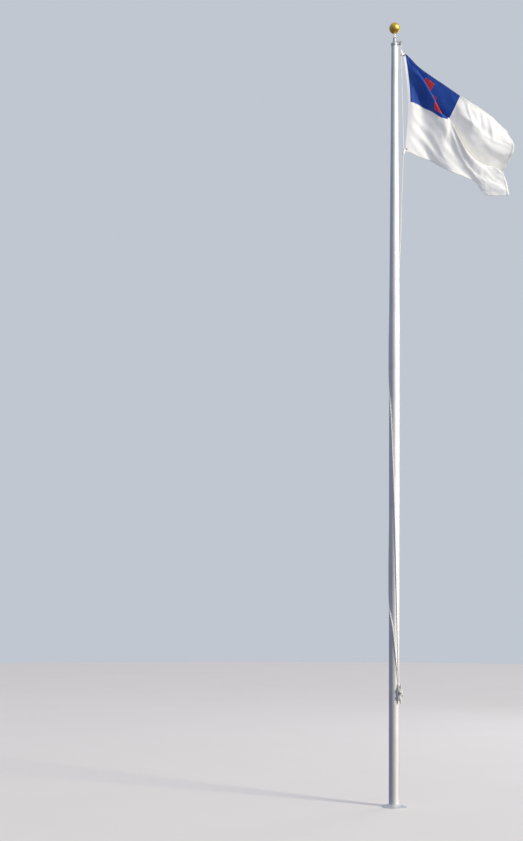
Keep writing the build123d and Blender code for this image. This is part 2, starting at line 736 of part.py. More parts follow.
def cloth_solid(cells, thickness):
    """A thin solid of flat facets over some cells, drawn in from its edges by half a seam."""

    @cache
    def corner(column, row, side):
        inward_out = inward_down = 0
        for out_step in (-1, 0):
            for down_step in (-1, 0):
                if (column + out_step, row + down_step) in cells:
                    inward_out += 2 * out_step + 1
                    inward_down += 2 * down_step + 1
        out = FLY_LINES[column] + SEAM_GAP / 2 * max(-1, min(1, inward_out))
        down = HOIST_LINES[row] + SEAM_GAP / 2 * max(-1, min(1, inward_down))
        return cloth(out, down) + cloth_normal(out, down) * (side * thickness / 2)

    facets = []
    for column, row in sorted(cells):
        ring = [(column, row), (column + 1, row), (column + 1, row + 1), (column, row + 1)]
        beyond = [(column, row - 1), (column + 1, row), (column, row + 1), (column - 1, row)]
        back = [corner(*place, 1) for place in ring]
        front = [corner(*place, -1) for place in ring]
        for first, second, third in ((0, 1, 2), (0, 2, 3)):
            facets.append((back[first], back[second], back[third]))
            facets.append((front[third], front[second], front[first]))
        for start, end, neighbour in zip(ring, ring[1:] + ring[:1], beyond):
            if neighbour not in cells:
                near = [corner(*start, side) for side in (-1, 1)]
                far = [corner(*end, side) for side in (-1, 1)]
                facets += [(near[0], far[0], far[1]), (near[0], far[1], near[1])]
    faces = [Face(Wire.make_polygon(facet)) for facet in facets]
    solid = Solid(Shell(faces))
    return solid if solid.volume > 0 else Solid(Shell(faces[::-1]))


flag_pieces = {}
for name, cells in flag_cells().items():
    thickness = HEADER_THICKNESS if name == "flag_header" else FLAG_THICKNESS
    flag_pieces[name] = cloth_solid(cells, thickness)


def grommet_place(down):
    """The centre of a grommet, at a distance down the header."""
    left = cloth(0, down)
    right = cloth(HEADER_WIDTH, down)
    return Vector((left.X + right.X) / 2, 0, (left.Z + right.Z) / 2)


GROMMETS = {
    "upper": grommet_place(GROMMET_INSET),
    "lower": grommet_place(FLAG_HOIST - GROMMET_INSET),
}


def across_header(place, radius, length):
    """A round bar through the header at a grommet's place."""
    return Pos(*place) * Rot(90, 0, 0) * Cylinder(radius, length)


grommets = {}
snaps = {}
snap_eyes = {}
for level, place in GROMMETS.items():
    flag_pieces["flag_header"] -= across_header(place, GROMMET_DIAMETER / 2 + SEAT_GAP, GROMMET_DIAMETER)
    grommets[level] = across_header(place, GROMMET_DIAMETER / 2, GROMMET_THICKNESS)
    grommets[level] -= across_header(place, GROMMET_HOLE_DIAMETER / 2, 2 * GROMMET_THICKNESS)
    eye_x = place.X - SNAP_REACH
    shank_start = eye_x + SNAP_EYE_RADIUS
    hook = Pos(shank_start + SNAP_SHANK_LENGTH + SNAP_HOOK_RADIUS, 0, place.Z) * Torus(
        SNAP_HOOK_RADIUS, SNAP_WIRE / 2
    )
    shank = Pos(shank_start + SNAP_SHANK_LENGTH / 2, 0, place.Z) * Rot(0, 90, 0) * Cylinder(
        SNAP_SHANK_DIAMETER / 2, SNAP_SHANK_LENGTH
    )
    swivel = Pos(shank_start + SNAP_SHANK_LENGTH / 2, 0, place.Z) * Rot(0, 90, 0) * Cylinder(
        SNAP_SWIVEL_DIAMETER / 2, SNAP_SWIVEL_LENGTH
    )
    eye = Pos(eye_x, 0, place.Z) * Torus(SNAP_EYE_RADIUS, SNAP_WIRE / 2)
    hole = Pos(eye_x, 0, place.Z) * Cylinder(ROPE_RADIUS + SEAT_GAP, 4 * SNAP_WIRE)
    snaps[level] = hook + shank + swivel + eye - hole
    snap_eyes[level] = Vector(eye_x, 0, place.Z)

halyard_hoist_leg = rope([(OUTER_LEG, 0, SHEAVE_HEIGHT), snap_eyes["upper"] + Vector(0, 0, ROPE_END_GAP)])
halyard_between_snaps = rope([snap_eyes["upper"], snap_eyes["lower"]])
DOWN_LEG = [
    snap_eyes["lower"] - Vector(0, 0, ROPE_END_GAP),
    Vector(95, 3, 7494),
    Vector(83, 13, 7060),
    Vector(73, 28, 6699),
    hug(42, 6277),
    hug(62, STRAIGHT_HEIGHT),
    hug(88, 5050),
    hug(116, 4250),
    hug(145, 3400),
    hug(172, 2620),
    hug(200, 2370),
    hug(226, 2270),
    hug(248, 2150),
    hug(267, 1960),
    hug(282, SPLIT_HEIGHT),
]
halyard_down_leg = rope(DOWN_LEG)


def beside_cleat(across, height):
    """A point on the pole's face beside the cleat's middle line."""
    radius = (BUTT_DIAMETER / 2 + SEAT_GAP + ROPE_RADIUS) / cos(radians(HUG_STEP / 2))
    along = radians(CLEAT_AZIMUTH)
    return Vector(
        radius * cos(along) - across * sin(along),
        radius * sin(along) + across * cos(along),
        height,
    )


WRAP_TOP = CLEAT_HEIGHT + WRAP_LENGTH / 2 + SEAT_GAP
halyard_return_end = rope(
    [
        hug(303, SPLIT_HEIGHT - ROPE_JOINT_GAP),
        hug(307, 1600),
        beside_cleat(6, WRAP_TOP + 30),
        beside_cleat(6, WRAP_TOP),
    ]
)
halyard_down_end = rope(
    [
        hug(282, SPLIT_HEIGHT - ROPE_JOINT_GAP),
        hug(294, 1580),
        beside_cleat(-6, WRAP_TOP + 40),
        beside_cleat(-6, WRAP_TOP),
    ]
)

os.makedirs("parts", exist_ok=True)
save(pole_shaft, "pole_shaft")
save(flash_collar, "flash_collar")
save(truck_plug, "truck_plug")
save(bearing_race, "bearing_race")
save(truck_head, "truck_head")
save(sheave_hood, "sheave_hood")
save(sheave_pin, "sheave_pin")
save(sheave_wheel, "sheave_wheel")
save(stem_nut, "stem_nut")
save(finial_rod, "finial_rod")
save(ball_lower_half, "ball_lower_half")
save(ball_upper_half, "ball_upper_half")
save(cleat_body, "cleat_body")
save(halyard_wraps, "halyard_wraps")
save(halyard_over_sheave, "halyard_over_sheave")
save(halyard_return_leg, "halyard_return_leg")
save(halyard_hoist_leg, "halyard_hoist_leg")
save(halyard_between_snaps, "halyard_between_snaps")
save(halyard_down_leg, "halyard_down_leg")
save(halyard_return_end, "halyard_return_end")
save(halyard_down_end, "halyard_down_end")
for name, piece in flag_pieces.items():
    save(piece, name)
for level in GROMMETS:
    save(grommets[level], f"grommet_{level}")
    save(snaps[level], f"snap_{level}")
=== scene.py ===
"""A flagpole with a hoisted flag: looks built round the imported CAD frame.

Lengths are in metres in the frame's own axes: Z up the pole, the fly towards +X, the viewer at -Y.
"""

import json
import logging
import math
from dataclasses import dataclass, field
from enum import Enum
from typing import Callable, Iterable, Sequence

import bmesh
import bpy
import numpy as np
from mathutils import Matrix, Vector, noise

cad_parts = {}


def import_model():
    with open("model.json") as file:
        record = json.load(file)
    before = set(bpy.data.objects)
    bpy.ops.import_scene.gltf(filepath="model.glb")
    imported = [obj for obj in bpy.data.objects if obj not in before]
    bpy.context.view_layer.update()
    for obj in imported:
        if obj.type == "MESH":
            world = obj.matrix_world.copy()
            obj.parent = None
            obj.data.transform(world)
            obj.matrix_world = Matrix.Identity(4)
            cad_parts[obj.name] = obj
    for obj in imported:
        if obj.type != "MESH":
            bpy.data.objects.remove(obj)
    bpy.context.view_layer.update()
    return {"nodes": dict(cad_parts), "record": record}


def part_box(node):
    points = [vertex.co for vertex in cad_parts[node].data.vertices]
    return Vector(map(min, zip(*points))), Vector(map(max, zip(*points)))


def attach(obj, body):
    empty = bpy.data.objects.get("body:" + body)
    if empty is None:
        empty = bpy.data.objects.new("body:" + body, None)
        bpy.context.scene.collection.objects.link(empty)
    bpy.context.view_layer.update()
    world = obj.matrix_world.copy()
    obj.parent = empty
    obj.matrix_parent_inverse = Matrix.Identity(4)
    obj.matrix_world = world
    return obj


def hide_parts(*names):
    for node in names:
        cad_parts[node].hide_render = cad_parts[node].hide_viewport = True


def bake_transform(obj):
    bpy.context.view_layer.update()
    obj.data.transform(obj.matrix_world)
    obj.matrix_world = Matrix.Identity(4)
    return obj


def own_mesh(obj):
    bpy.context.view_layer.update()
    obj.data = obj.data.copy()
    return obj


LOG = logging.getLogger("flagpole")
MM = 0.001

Socket = bpy.types.NodeSocket
Value = float | Sequence[float] | Socket
Colour = tuple[float, float, float]
# A Mix node gives several sockets one name, so its colour sockets go by number.
MIX_COLOURS = (6, 7)
MIX_RESULT = 2


# Node trees


@dataclass
class Sketch:
    """A node tree being drawn, with short calls for the nodes that recur."""

    tree: bpy.types.NodeTree

    def add(self, kind: str, **settings: object) -> bpy.types.Node:
        """Add a node.

        Args:
            kind: the node's class without its ShaderNode prefix.
            **settings: attributes of the node.

        Returns:
            The new node.
        """
        node = self.tree.nodes.new(f"ShaderNode{kind}")
        for name, value in settings.items():
            setattr(node, name, value)
        return node

    def join(self, value: Value, socket: Socket) -> None:
        """Link a socket to an input, or set a plain value on it.

        Args:
            value: a socket or a plain value.
            socket: the input.
        """
        if isinstance(value, bpy.types.NodeSocket):
            self.tree.links.new(value, socket)
        else:
            socket.default_value = value

    def math(self, operation: str, *values: Value) -> Socket:
        """The result of a math node.

        Args:
            operation: the node's operation.
            *values: one to three numbers or sockets.

        Returns:
            The result's socket.
        """
        node = self.add("Math", operation=operation)
        for value, socket in zip(values, node.inputs):
            self.join(value, socket)
        return node.outputs[0]

    def spread(
        self, value: Value, low: float, high: float, to_low: float = 0.0, to_high: float = 1.0
    ) -> Socket:
        """A value carried from one range to another and held inside it.

        Args:
            value: what is carried.
            low: the value that becomes to_low.
            high: the value that becomes to_high.
            to_low: the result's lower end.
            to_high: the result's upper end.

        Returns:
            The result's socket.
        """
        node = self.add("MapRange", clamp=True)
        for number, socket in zip((value, low, high, to_low, to_high), node.inputs):
            self.join(number, socket)
        return node.outputs[0]

    def noise(
        self, place: Value, scale: Value, detail: float = 3.0, roughness: float = 0.5
    ) -> Socket:
        """Noise between 0 and 1.

        Args:
            place: the coordinates.
            scale: how fine it is.
            detail: its octaves.
            roughness: how strong the finer octaves are.

        Returns:
            The noise's value.
        """
        node = self.add("TexNoise")
        given = {"Vector": place, "Scale": scale, "Detail": detail, "Roughness": roughness}
        for name, value in given.items():
            self.join(value, node.inputs[name])
        return node.outputs["Fac"]

    def stretched(self, place: Socket, along: Sequence[float]) -> Socket:
        """Coordinates multiplied axis by axis.

        Args:
            place: the coordinates.
            along: what each axis is multiplied by.

        Returns:
            The new coordinates' socket.
        """
        node = self.add("VectorMath", operation="MULTIPLY")
        self.join(place, node.inputs[0])
        self.join(along, node.inputs[1])
        return node.outputs[0]

    def blend(self, share: Value, first: Value, second: Value) -> Socket:
        """A colour between two colours.

        Args:
            share: 0 for the first and 1 for the second.
            first: a colour or its socket.
            second: a colour or its socket.

        Returns:
            The colour's socket.
        """
        node = self.add("Mix", data_type="RGBA")
        self.join(share, node.inputs["Factor"])
        for value, index in zip((first, second), MIX_COLOURS):
            given = value if isinstance(value, bpy.types.NodeSocket) else (*value, 1.0)
            self.join(given, node.inputs[index])
        return node.outputs[MIX_RESULT]

    def apart(self, place: Socket) -> bpy.types.NodeOutputs:
        """The three numbers of a place.

        Args:
            place: the coordinates.

        Returns:
            Their sockets, in order.
        """
        node = self.add("SeparateXYZ")
        self.join(place, node.inputs[0])
        return node.outputs

    def bump(self, height: Socket, distance: float, strength: float = 1.0) -> Socket:
        """A normal raised by a height map of 0 to 1.

        Args:
            height: the map.
            distance: what a height of 1 stands for, in metres.
            strength: the share of the effect that shows.

        Returns:
            The normal's socket.
        """
        node = self.add("Bump")
        node.inputs["Strength"].default_value = strength
        node.inputs["Distance"].default_value = distance
        self.join(height, node.inputs["Height"])
        return node.outputs["Normal"]

    def place(self) -> Socket:
        """The object's own coordinates, which are the frame's."""
        return self.add("TexCoord").outputs["Object"]

    def cut(self) -> Socket:
        """The UV coordinates, which are metres along and across a cut or a rope."""
        return self.add("TexCoord").outputs["UV"]


class Effect(Enum):
    """The shared effects, each a node group that is built once."""

    WEATHER = "weather_streaks"
    GRAIN = "surface_grain"
    WEAVE = "plain_weave"
    BRAID = "rope_braid"


class EffectShelf:
    """Builds each shared effect the first time that a material asks for it."""

    def __init__(self) -> None:
        """Start with nothing built."""
        self.built: dict[Effect, bpy.types.NodeTree] = {}

    def use(self, sketch: Sketch, effect: Effect, **values: Value) -> bpy.types.Node:
        """Place an effect in a material.

        Args:
            sketch: the material's tree.
            effect: which effect.
            **values: its inputs by name, with spaces as underscores.

        Returns:
            The group node, whose outputs carry the effect.
        """
        if effect not in self.built:
            self.built[effect] = getattr(self, effect.value)()
        node = sketch.add("Group")
        node.node_tree = self.built[effect]
        for name, value in values.items():
            sketch.join(value, node.inputs[name.replace("_", " ")])
        return node

    @staticmethod
    def blank(
        name: str, inputs: dict[str, str], outputs: dict[str, str]
    ) -> tuple[Sketch, dict[str, Socket], dict[str, Socket]]:
        """A group with its sockets and nothing in it.

        Args:
            name: the group's name.
            inputs: socket names and their kinds.
            outputs: socket names and their kinds.

        Returns:
            The sketch, the input sockets by name and the output sockets by name.
        """
        tree = bpy.data.node_groups.new(name, "ShaderNodeTree")
        for in_out, sockets in (("INPUT", inputs), ("OUTPUT", outputs)):
            for label, kind in sockets.items():
                tree.interface.new_socket(
                    name=label, in_out=in_out, socket_type=f"NodeSocket{kind}"
                )
        start = tree.nodes.new("NodeGroupInput")
        end = tree.nodes.new("NodeGroupOutput")
        return Sketch(tree), dict(start.outputs.items()), dict(end.inputs.items())

    def weather_streaks(self) -> bpy.types.NodeTree:
        """Rain streaks and blotches that dull a colour and its gloss.

        Returns:
            The group's tree.
        """
        sketch, given, out = self.blank(
            "weather streaks",
            {
                "Place": "Vector",
                "Colour": "Color",
                "Dirt": "Color",
                "Amount": "Float",
                "Scale": "Float",
            },
            {"Colour": "Color", "Mask": "Float"},
        )
        long_way = sketch.stretched(given["Place"], (1.0, 1.0, 0.04))
        streaks = sketch.spread(sketch.noise(long_way, given["Scale"], 4.0, 0.6), 0.45, 0.75)
        blotches = sketch.spread(sketch.noise(given["Place"], 3.0, 5.0, 0.6), 0.42, 0.7)
        marks = sketch.math("MAXIMUM", streaks, blotches)
        mask = sketch.math("MULTIPLY", marks, given["Amount"])
        sketch.join(sketch.blend(mask, given["Colour"], given["Dirt"]), out["Colour"])
        sketch.join(mask, out["Mask"])
        return sketch.tree

    def surface_grain(self) -> bpy.types.NodeTree:
        """Fine scratches or casting grain, as a height and as a mask.

        Returns:
            The group's tree.
        """
        sketch, given, out = self.blank(
            "surface grain",
            {"Place": "Vector", "Fine": "Float", "Coarse": "Float"},
            {"Height": "Float", "Mask": "Float"},
        )
        fine = sketch.noise(given["Place"], given["Fine"], 2.0, 0.5)
        coarse = sketch.noise(given["Place"], given["Coarse"], 4.0, 0.55)
        height = sketch.math("MULTIPLY_ADD", fine, 0.6, sketch.math("MULTIPLY", coarse, 0.4))
        sketch.join(height, out["Height"])
        sketch.join(sketch.spread(coarse, 0.35, 0.65), out["Mask"])
        return sketch.tree

    def plain_weave(self) -> bpy.types.NodeTree:
        """Threads over and under each other on cut cloth.

        Returns:
            The group's tree.
        """
        sketch, given, out = self.blank(
            "plain weave",
            {"Cut": "Vector", "Threads": "Float"},
            {"Height": "Float", "Slub": "Float"},
        )
        turns = sketch.math("MULTIPLY", given["Threads"], math.pi)
        across, down = (
            sketch.math("SINE", sketch.math("MULTIPLY", way, turns))
            for way in sketch.apart(given["Cut"])[:2]
        )
        height = sketch.math("ABSOLUTE", sketch.math("MULTIPLY", across, down))
        sketch.join(sketch.math("SUBTRACT", 1.0, height), out["Height"])
        slub = sketch.noise(sketch.stretched(given["Cut"], (1.0, 14.0, 1.0)), 60.0, 3.0, 0.6)
        sketch.join(slub, out["Slub"])
        return sketch.tree

    def rope_braid(self) -> bpy.types.NodeTree:
        """The diamond braid of a rope from its turn and length, and painted shade in its crevices.

        Returns:
            The group's tree.
        """
        sketch, given, out = self.blank(
            "rope braid",
            {"Cut": "Vector", "Carriers": "Float", "Pitch": "Float"},
            {"Height": "Float", "Painted Shade": "Float"},
        )
        turn, length, _ = sketch.apart(given["Cut"])
        half_turn = sketch.math("MULTIPLY", given["Carriers"], math.pi)
        around = sketch.math("MULTIPLY", turn, half_turn)
        pitches = sketch.math("DIVIDE", length, given["Pitch"])
        along = sketch.math("MULTIPLY", pitches, math.pi)
        left, right = (
            sketch.math("ABSOLUTE", sketch.math("SINE", sketch.math(way, around, along)))
            for way in ("ADD", "SUBTRACT")
        )
        height = sketch.math("MULTIPLY", left, right)
        sketch.join(height, out["Height"])
        # Painted shade: the mask is 1 where the braid sinks into its crevices and 0 on its crowns.
        sketch.join(sketch.spread(height, 0.0, 0.35, 1.0, 0.0), out["Painted Shade"])
        return sketch.tree


SHELF = EffectShelf()


# Finishes


@dataclass(frozen=True)
class Finish:
    """A named finish with its colour and gloss."""

    name: str
    colour: Colour
    roughness: float

    def make(self) -> bpy.types.Material:
        """Build the material.

        Returns:
            The new material.
        """
        material = bpy.data.materials.new(self.name)
        material.use_nodes = True
        sketch = Sketch(material.node_tree)
        shader = material.node_tree.nodes["Principled BSDF"]
        shader.inputs["Roughness"].default_value = self.roughness
        self.dress(sketch, shader.inputs)
        return material

    def dress(self, sketch: Sketch, shader: bpy.types.NodeInputs) -> None:
        """Draw the finish's own nodes into the shader."""
        sketch.join((*self.colour, 1.0), shader["Base Color"])


@dataclass(frozen=True)
class Weathered(Finish):
    """A finish that rain has streaked and dulled."""

    dirt: Colour = (0.30, 0.30, 0.31)
    dirt_amount: float = 0.25
    streak_scale: float = 40.0

    def weather(self, sketch: Sketch, shader: bpy.types.NodeInputs) -> Socket:
        """Draw the streaked colour.

        Args:
            sketch: the material's tree.
            shader: the shader's inputs.

        Returns:
            The mask of the streaks.
        """
        effect = SHELF.use(
            sketch,
            Effect.WEATHER,
            Place=sketch.place(),
            Colour=(*self.colour, 1.0),
            Dirt=(*self.dirt, 1.0),
            Amount=self.dirt_amount,
            Scale=self.streak_scale,
        )
        sketch.join(effect.outputs["Colour"], shader["Base Color"])
        return effect.outputs["Mask"]


@dataclass(frozen=True)
class Metal(Weathered):
    """Bare, spun, brushed or cast metal with weathering."""

    grain_stretch: tuple[float, float, float] = (1.0, 1.0, 1.0)
    fine: float = 900.0
    coarse: float = 60.0
    relief: float = 0.00006
    anisotropic: float = 0.0
    polish: float = 0.12
    scratch_share: float = 0.4

    def dress(self, sketch: Sketch, shader: bpy.types.NodeInputs) -> None:
        """Weathered colour, grain in the normal and in the gloss.

        Args:
            sketch: the material's tree.
            shader: the shader's inputs.
        """
        streaks = self.weather(sketch, shader)
        grain = SHELF.use(
            sketch,
            Effect.GRAIN,
            Place=sketch.stretched(sketch.place(), self.grain_stretch),
            Fine=self.fine,
            Coarse=self.coarse,
        )
        scratches = sketch.math("MULTIPLY", grain.outputs["Mask"], self.scratch_share)
        dull = sketch.math("ADD", streaks, scratches)
        bright, matt = self.roughness - self.polish / 2, min(1.0, self.roughness + self.polish)
        sketch.join(sketch.spread(dull, 0.0, 1.0, bright, matt), shader["Roughness"])
        shader["Metallic"].default_value = 1.0
        shader["Anisotropic"].default_value = self.anisotropic
        sketch.join(sketch.bump(grain.outputs["Height"], self.relief), shader["Normal"])


@dataclass(frozen=True)
class Coating(Weathered):
    """Enamel or moulded plastic: a smooth body with slight ripple and dulling."""

    dirt: Colour = (0.5, 0.48, 0.44)
    dirt_amount: float = 0.2
    streak_scale: float = 55.0
    coat: float = 0.0
    fine: float = 420.0
    coarse: float = 90.0
    relief: float = 0.00005
    dulling: float = 0.2

    def dress(self, sketch: Sketch, shader: bpy.types.NodeInputs) -> None:
        """Weathered colour, orange-peel ripple and a clear coat.

        Args:
            sketch: the material's tree.
            shader: the shader's inputs.
        """
        streaks = self.weather(sketch, shader)
        ripple = SHELF.use(
            sketch, Effect.GRAIN, Place=sketch.place(), Fine=self.fine, Coarse=self.coarse
        )
        gloss = sketch.spread(streaks, 0.0, 0.5, self.roughness, self.roughness + self.dulling)
        sketch.join(gloss, shader["Roughness"])
        shader["Coat Weight"].default_value = self.coat
        sketch.join(sketch.bump(ripple.outputs["Height"], self.relief), shader["Normal"])


@dataclass(frozen=True)
class Cloth(Finish):
    """Woven cloth on its cut's own coordinates, which lets some light through."""

    threads: float = 900.0
    shade: Colour = (0.5, 0.5, 0.5)
    sheen: float = 0.25
    relief: float = 0.00035
    glow: float = 0.0
    glow_depth: float = 0.0012
    shine: float = 0.3

    def dress(self, sketch: Sketch, shader: bpy.types.NodeInputs) -> None:
        """Weave in the normal, slubs and soft soiling in the colour.

        Args:
            sketch: the material's tree.
            shader: the shader's inputs.
        """
        cut = sketch.cut()
        weave = SHELF.use(sketch, Effect.WEAVE, Cut=cut, Threads=self.threads)
        soil = sketch.spread(sketch.noise(cut, 5.0, 5.0, 0.6), 0.4, 0.75, 0.0, 0.35)
        slub = sketch.spread(weave.outputs["Slub"], 0.3, 0.8, 0.0, 0.3)
        worn = sketch.math("MAXIMUM", soil, slub)
        sketch.join(sketch.blend(worn, self.colour, self.shade), shader["Base Color"])
        smooth, rough = self.roughness - 0.06, self.roughness + 0.08
        gloss = sketch.spread(weave.outputs["Slub"], 0.2, 0.8, smooth, rough)
        sketch.join(gloss, shader["Roughness"])
        shader["Sheen Weight"].default_value = self.sheen
        shader["Specular IOR Level"].default_value = self.shine
        shader["Subsurface Weight"].default_value = self.glow
        shader["Subsurface Radius"].default_value = (1.0, 1.0, 1.0)
        shader["Subsurface Scale"].default_value = self.glow_depth
        ripple = sketch.math("MULTIPLY_ADD", weave.outputs["Slub"], 0.6, weave.outputs["Height"])
        sketch.join(sketch.bump(ripple, self.relief, 0.5), shader["Normal"])


@dataclass(frozen=True)
class Braid(Finish):
    """Braided rope with painted shade greying its crevices."""

    # Painted shade: the colour laid into the braid's crevices, and how much of it shows.
    painted_shade: Colour = (0.66, 0.64, 0.58)
    painted_shade_share: float = 0.6
    carriers: float = 8.0
    pitch: float = 0.007
    relief: float = 0.0006
    sheen: float = 0.2

    def dress(self, sketch: Sketch, shader: bpy.types.NodeInputs) -> None:
        """The braid in the normal, and soiling and painted shade of the crevices in the colour.

        Args:
            sketch: the material's tree.
            shader: the shader's inputs.
        """
        braid = SHELF.use(
            sketch, Effect.BRAID, Cut=sketch.cut(), Carriers=self.carriers, Pitch=self.pitch
        )
        soil = sketch.spread(sketch.noise(sketch.place(), 9.0, 4.0, 0.6), 0.42, 0.7, 0.0, 0.35)
        # Painted shade in the crevices, joined with the real soiling: the stronger of the two marks
        # wins.
        crevice_shade_mask = sketch.math("MULTIPLY", braid.outputs["Painted Shade"], self.painted_shade_share)
        soil_and_painted_shade = sketch.math("MAXIMUM", soil, crevice_shade_mask)
        sketch.join(sketch.blend(soil_and_painted_shade, self.colour, self.painted_shade), shader["Base Color"])
        shader["Sheen Weight"].default_value = self.sheen
        sketch.join(sketch.bump(braid.outputs["Height"], self.relief, 0.8), shader["Normal"])


@dataclass(frozen=True)
class Floor(Finish):
    """The studio's pale floor, faintly clouded so that it isn't one flat colour."""

    cloud_tone: float = 0.93

    def dress(self, sketch: Sketch, shader: bpy.types.NodeInputs) -> None:
        """Slightly darker clouds in the colour.

        Args:
            sketch: the material's tree.
            shader: the shader's inputs.
        """
        cloud = sketch.spread(sketch.noise(sketch.place(), 0.6, 3.0), 0.3, 0.7, 0.0, 0.25)
        darker = tuple(self.cloud_tone * part for part in self.colour)
        sketch.join(sketch.blend(cloud, self.colour, darker), shader["Base Color"])


FINISHES: dict[str, Finish] = {
    "satin_aluminium": Metal(
        "satin aluminium",
        (0.90, 0.89, 0.87),
        0.67,
        dirt=(0.62, 0.60, 0.57),
        dirt_amount=0.35,
        streak_scale=34.0,
        grain_stretch=(0.35, 0.35, 4.0),
        fine=500.0,
        coarse=120.0,
        relief=0.00003,
        anisotropic=0.35,
    ),
    "spun_aluminium": Metal(
        "spun aluminium",
        (0.90, 0.90, 0.89),
        0.55,
        dirt=(0.60, 0.57, 0.53),
        dirt_amount=0.3,
        grain_stretch=(0.3, 0.3, 6.0),
        anisotropic=0.3,
    ),
    "cast_aluminium": Metal(
        "cast aluminium",
        (0.74, 0.74, 0.73),
        0.58,
        dirt=(0.42, 0.41, 0.40),
        dirt_amount=0.35,
        fine=1400.0,
        coarse=240.0,
        relief=0.00022,
    ),
    "stainless": Metal(
        "dull stainless",
        (0.60, 0.60, 0.61),
        0.28,
        dirt=(0.33, 0.31, 0.29),
        relief=0.00003,
    ),
    "white_enamel": Coating("white enamel", (0.84, 0.84, 0.82), 0.30, coat=0.3),
    "gold_anodised": Metal(
        "gold anodised",
        (0.98, 0.66, 0.14),
        0.50,
        dirt=(0.60, 0.36, 0.10),
        dirt_amount=0.25,
        streak_scale=70.0,
        grain_stretch=(0.4, 0.4, 7.0),
        fine=700.0,
        relief=0.00003,
        anisotropic=0.3,
    ),
    "black_nylon": Coating(
        "black nylon",
        (0.03, 0.03, 0.033),
        0.55,
        dirt=(0.12, 0.12, 0.12),
        relief=0.0001,
    ),
    "halyard_rope": Braid("halyard rope", (0.93, 0.91, 0.84), 0.75),
    "header_canvas": Cloth(
        "header canvas",
        (0.93, 0.92, 0.89),
        0.85,
        threads=520.0,
        shade=(0.85, 0.84, 0.80),
    ),
    "blue_nylon": Cloth(
        "blue nylon",
        (0.009, 0.066, 0.350),
        0.60,
        shade=(0.005, 0.038, 0.25),
        sheen=0.05,
        glow=0.35,
    ),
    "red_nylon": Cloth(
        "red nylon",
        (0.55, 0.022, 0.028),
        0.60,
        shade=(0.40, 0.015, 0.02),
        sheen=0.05,
        glow=0.35,
    ),
    "white_nylon": Cloth(
        "white nylon",
        (0.90, 0.895, 0.84),
        0.65,
        shade=(0.83, 0.825, 0.775),
        sheen=0.1,
        glow=0.8,
    ),
    "brass": Metal(
        "pressed brass",
        (0.68, 0.50, 0.22),
        0.32,
        dirt=(0.30, 0.20, 0.10),
        relief=0.00003,
    ),
}
THREAD = Cloth(
    "sewing thread",
    (0.80, 0.80, 0.78),
    0.7,
    threads=4000.0,
    shade=(0.6, 0.6, 0.58),
)
VINYL = Coating(
    "white vinyl",
    (0.88, 0.88, 0.86),
    0.45,
    dirt=(0.66, 0.64, 0.60),
    dirt_amount=0.3,
)
SEALANT = Coating(
    "clear sealant",
    (0.55, 0.54, 0.50),
    0.42,
    dirt=(0.28, 0.26, 0.22),
    dirt_amount=0.5,
)


class FinishRack:
    """Hands out each finish's material, built once."""

    def __init__(self) -> None:
        """Start with no material built."""
        self.made: dict[str, bpy.types.Material] = {}

    def __getitem__(self, finish: str | Finish) -> bpy.types.Material:
        """The material of a record slot, or of a finish of the scene's own.

        Args:
            finish: the slot's name or the finish.

        Returns:
            The material.
        """
        chosen = FINISHES[finish] if isinstance(finish, str) else finish
        if chosen.name not in self.made:
            self.made[chosen.name] = chosen.make()
        return self.made[chosen.name]


RACK = FinishRack()


# Meshes


def solid_mesh(
    name: str, points: np.ndarray, faces: Iterable[Sequence[int]], smooth: bool = True
) -> bpy.types.Object:
    """A mesh object from points and faces.

    Args:
        name: the object's name.
        points: an array of n by 3.
        faces: rings of point numbers.
        smooth: whether its faces are shaded smoothly.

    Returns:
        The object, linked to the scene.
    """
    mesh = bpy.data.meshes.new(name)
    mesh.from_pydata([tuple(point) for point in points], [], [tuple(face) for face in faces])
    mesh.polygons.foreach_set("use_smooth", [smooth] * len(mesh.polygons))
    mesh.update()
    made = bpy.data.objects.new(name, mesh)
    bpy.context.scene.collection.objects.link(made)
    return made


def finish_with(made: bpy.types.Object, finish: str | Finish) -> bpy.types.Object:
    """Give a piece its one material.

    Args:
        made: the piece.
        finish: a slot's name or a finish of the scene's own.

    Returns:
        The same piece.
    """
    made.data.materials.clear()
    made.data.materials.append(RACK[finish])
    return made


def ring_faces(rings: int, sides: int, looped: bool = False) -> list[tuple[int, ...]]:
    """Faces of a tube of rings of points.

    Args:
        rings: how many rings follow each other.
        sides: how many points a ring has.
        looped: whether the last ring meets the first one. Otherwise both ends are closed.

    Returns:
        The faces.
    """
    faces: list[tuple[int, ...]] = []
    for ring in range(rings if looped else rings - 1):
        low, high = ring * sides, (ring + 1) % rings * sides
        for side in range(sides):
            after = (side + 1) % sides
            faces.append((low + side, low + after, high + after, high + side))
    if not looped:
        faces.append(tuple(reversed(range(sides))))
        faces.append(tuple((rings - 1) * sides + side for side in range(sides)))
    return faces


def lathed(name: str, profile: Sequence[tuple[float, float]], sides: int) -> bpy.types.Object:
    """A closed form turned about the Z axis.

    Args:
        name: the object's name.
        profile: (radius, height) round the form's section, all off the axis.
        sides: how many steps a turn has.

    Returns:
        The object.
    """
    turns = np.linspace(0, 2 * math.pi, sides, endpoint=False)
    points = [(r * math.cos(a), r * math.sin(a), z) for r, z in profile for a in turns]
    return solid_mesh(name, np.array(points), ring_faces(len(profile), sides, looped=True))


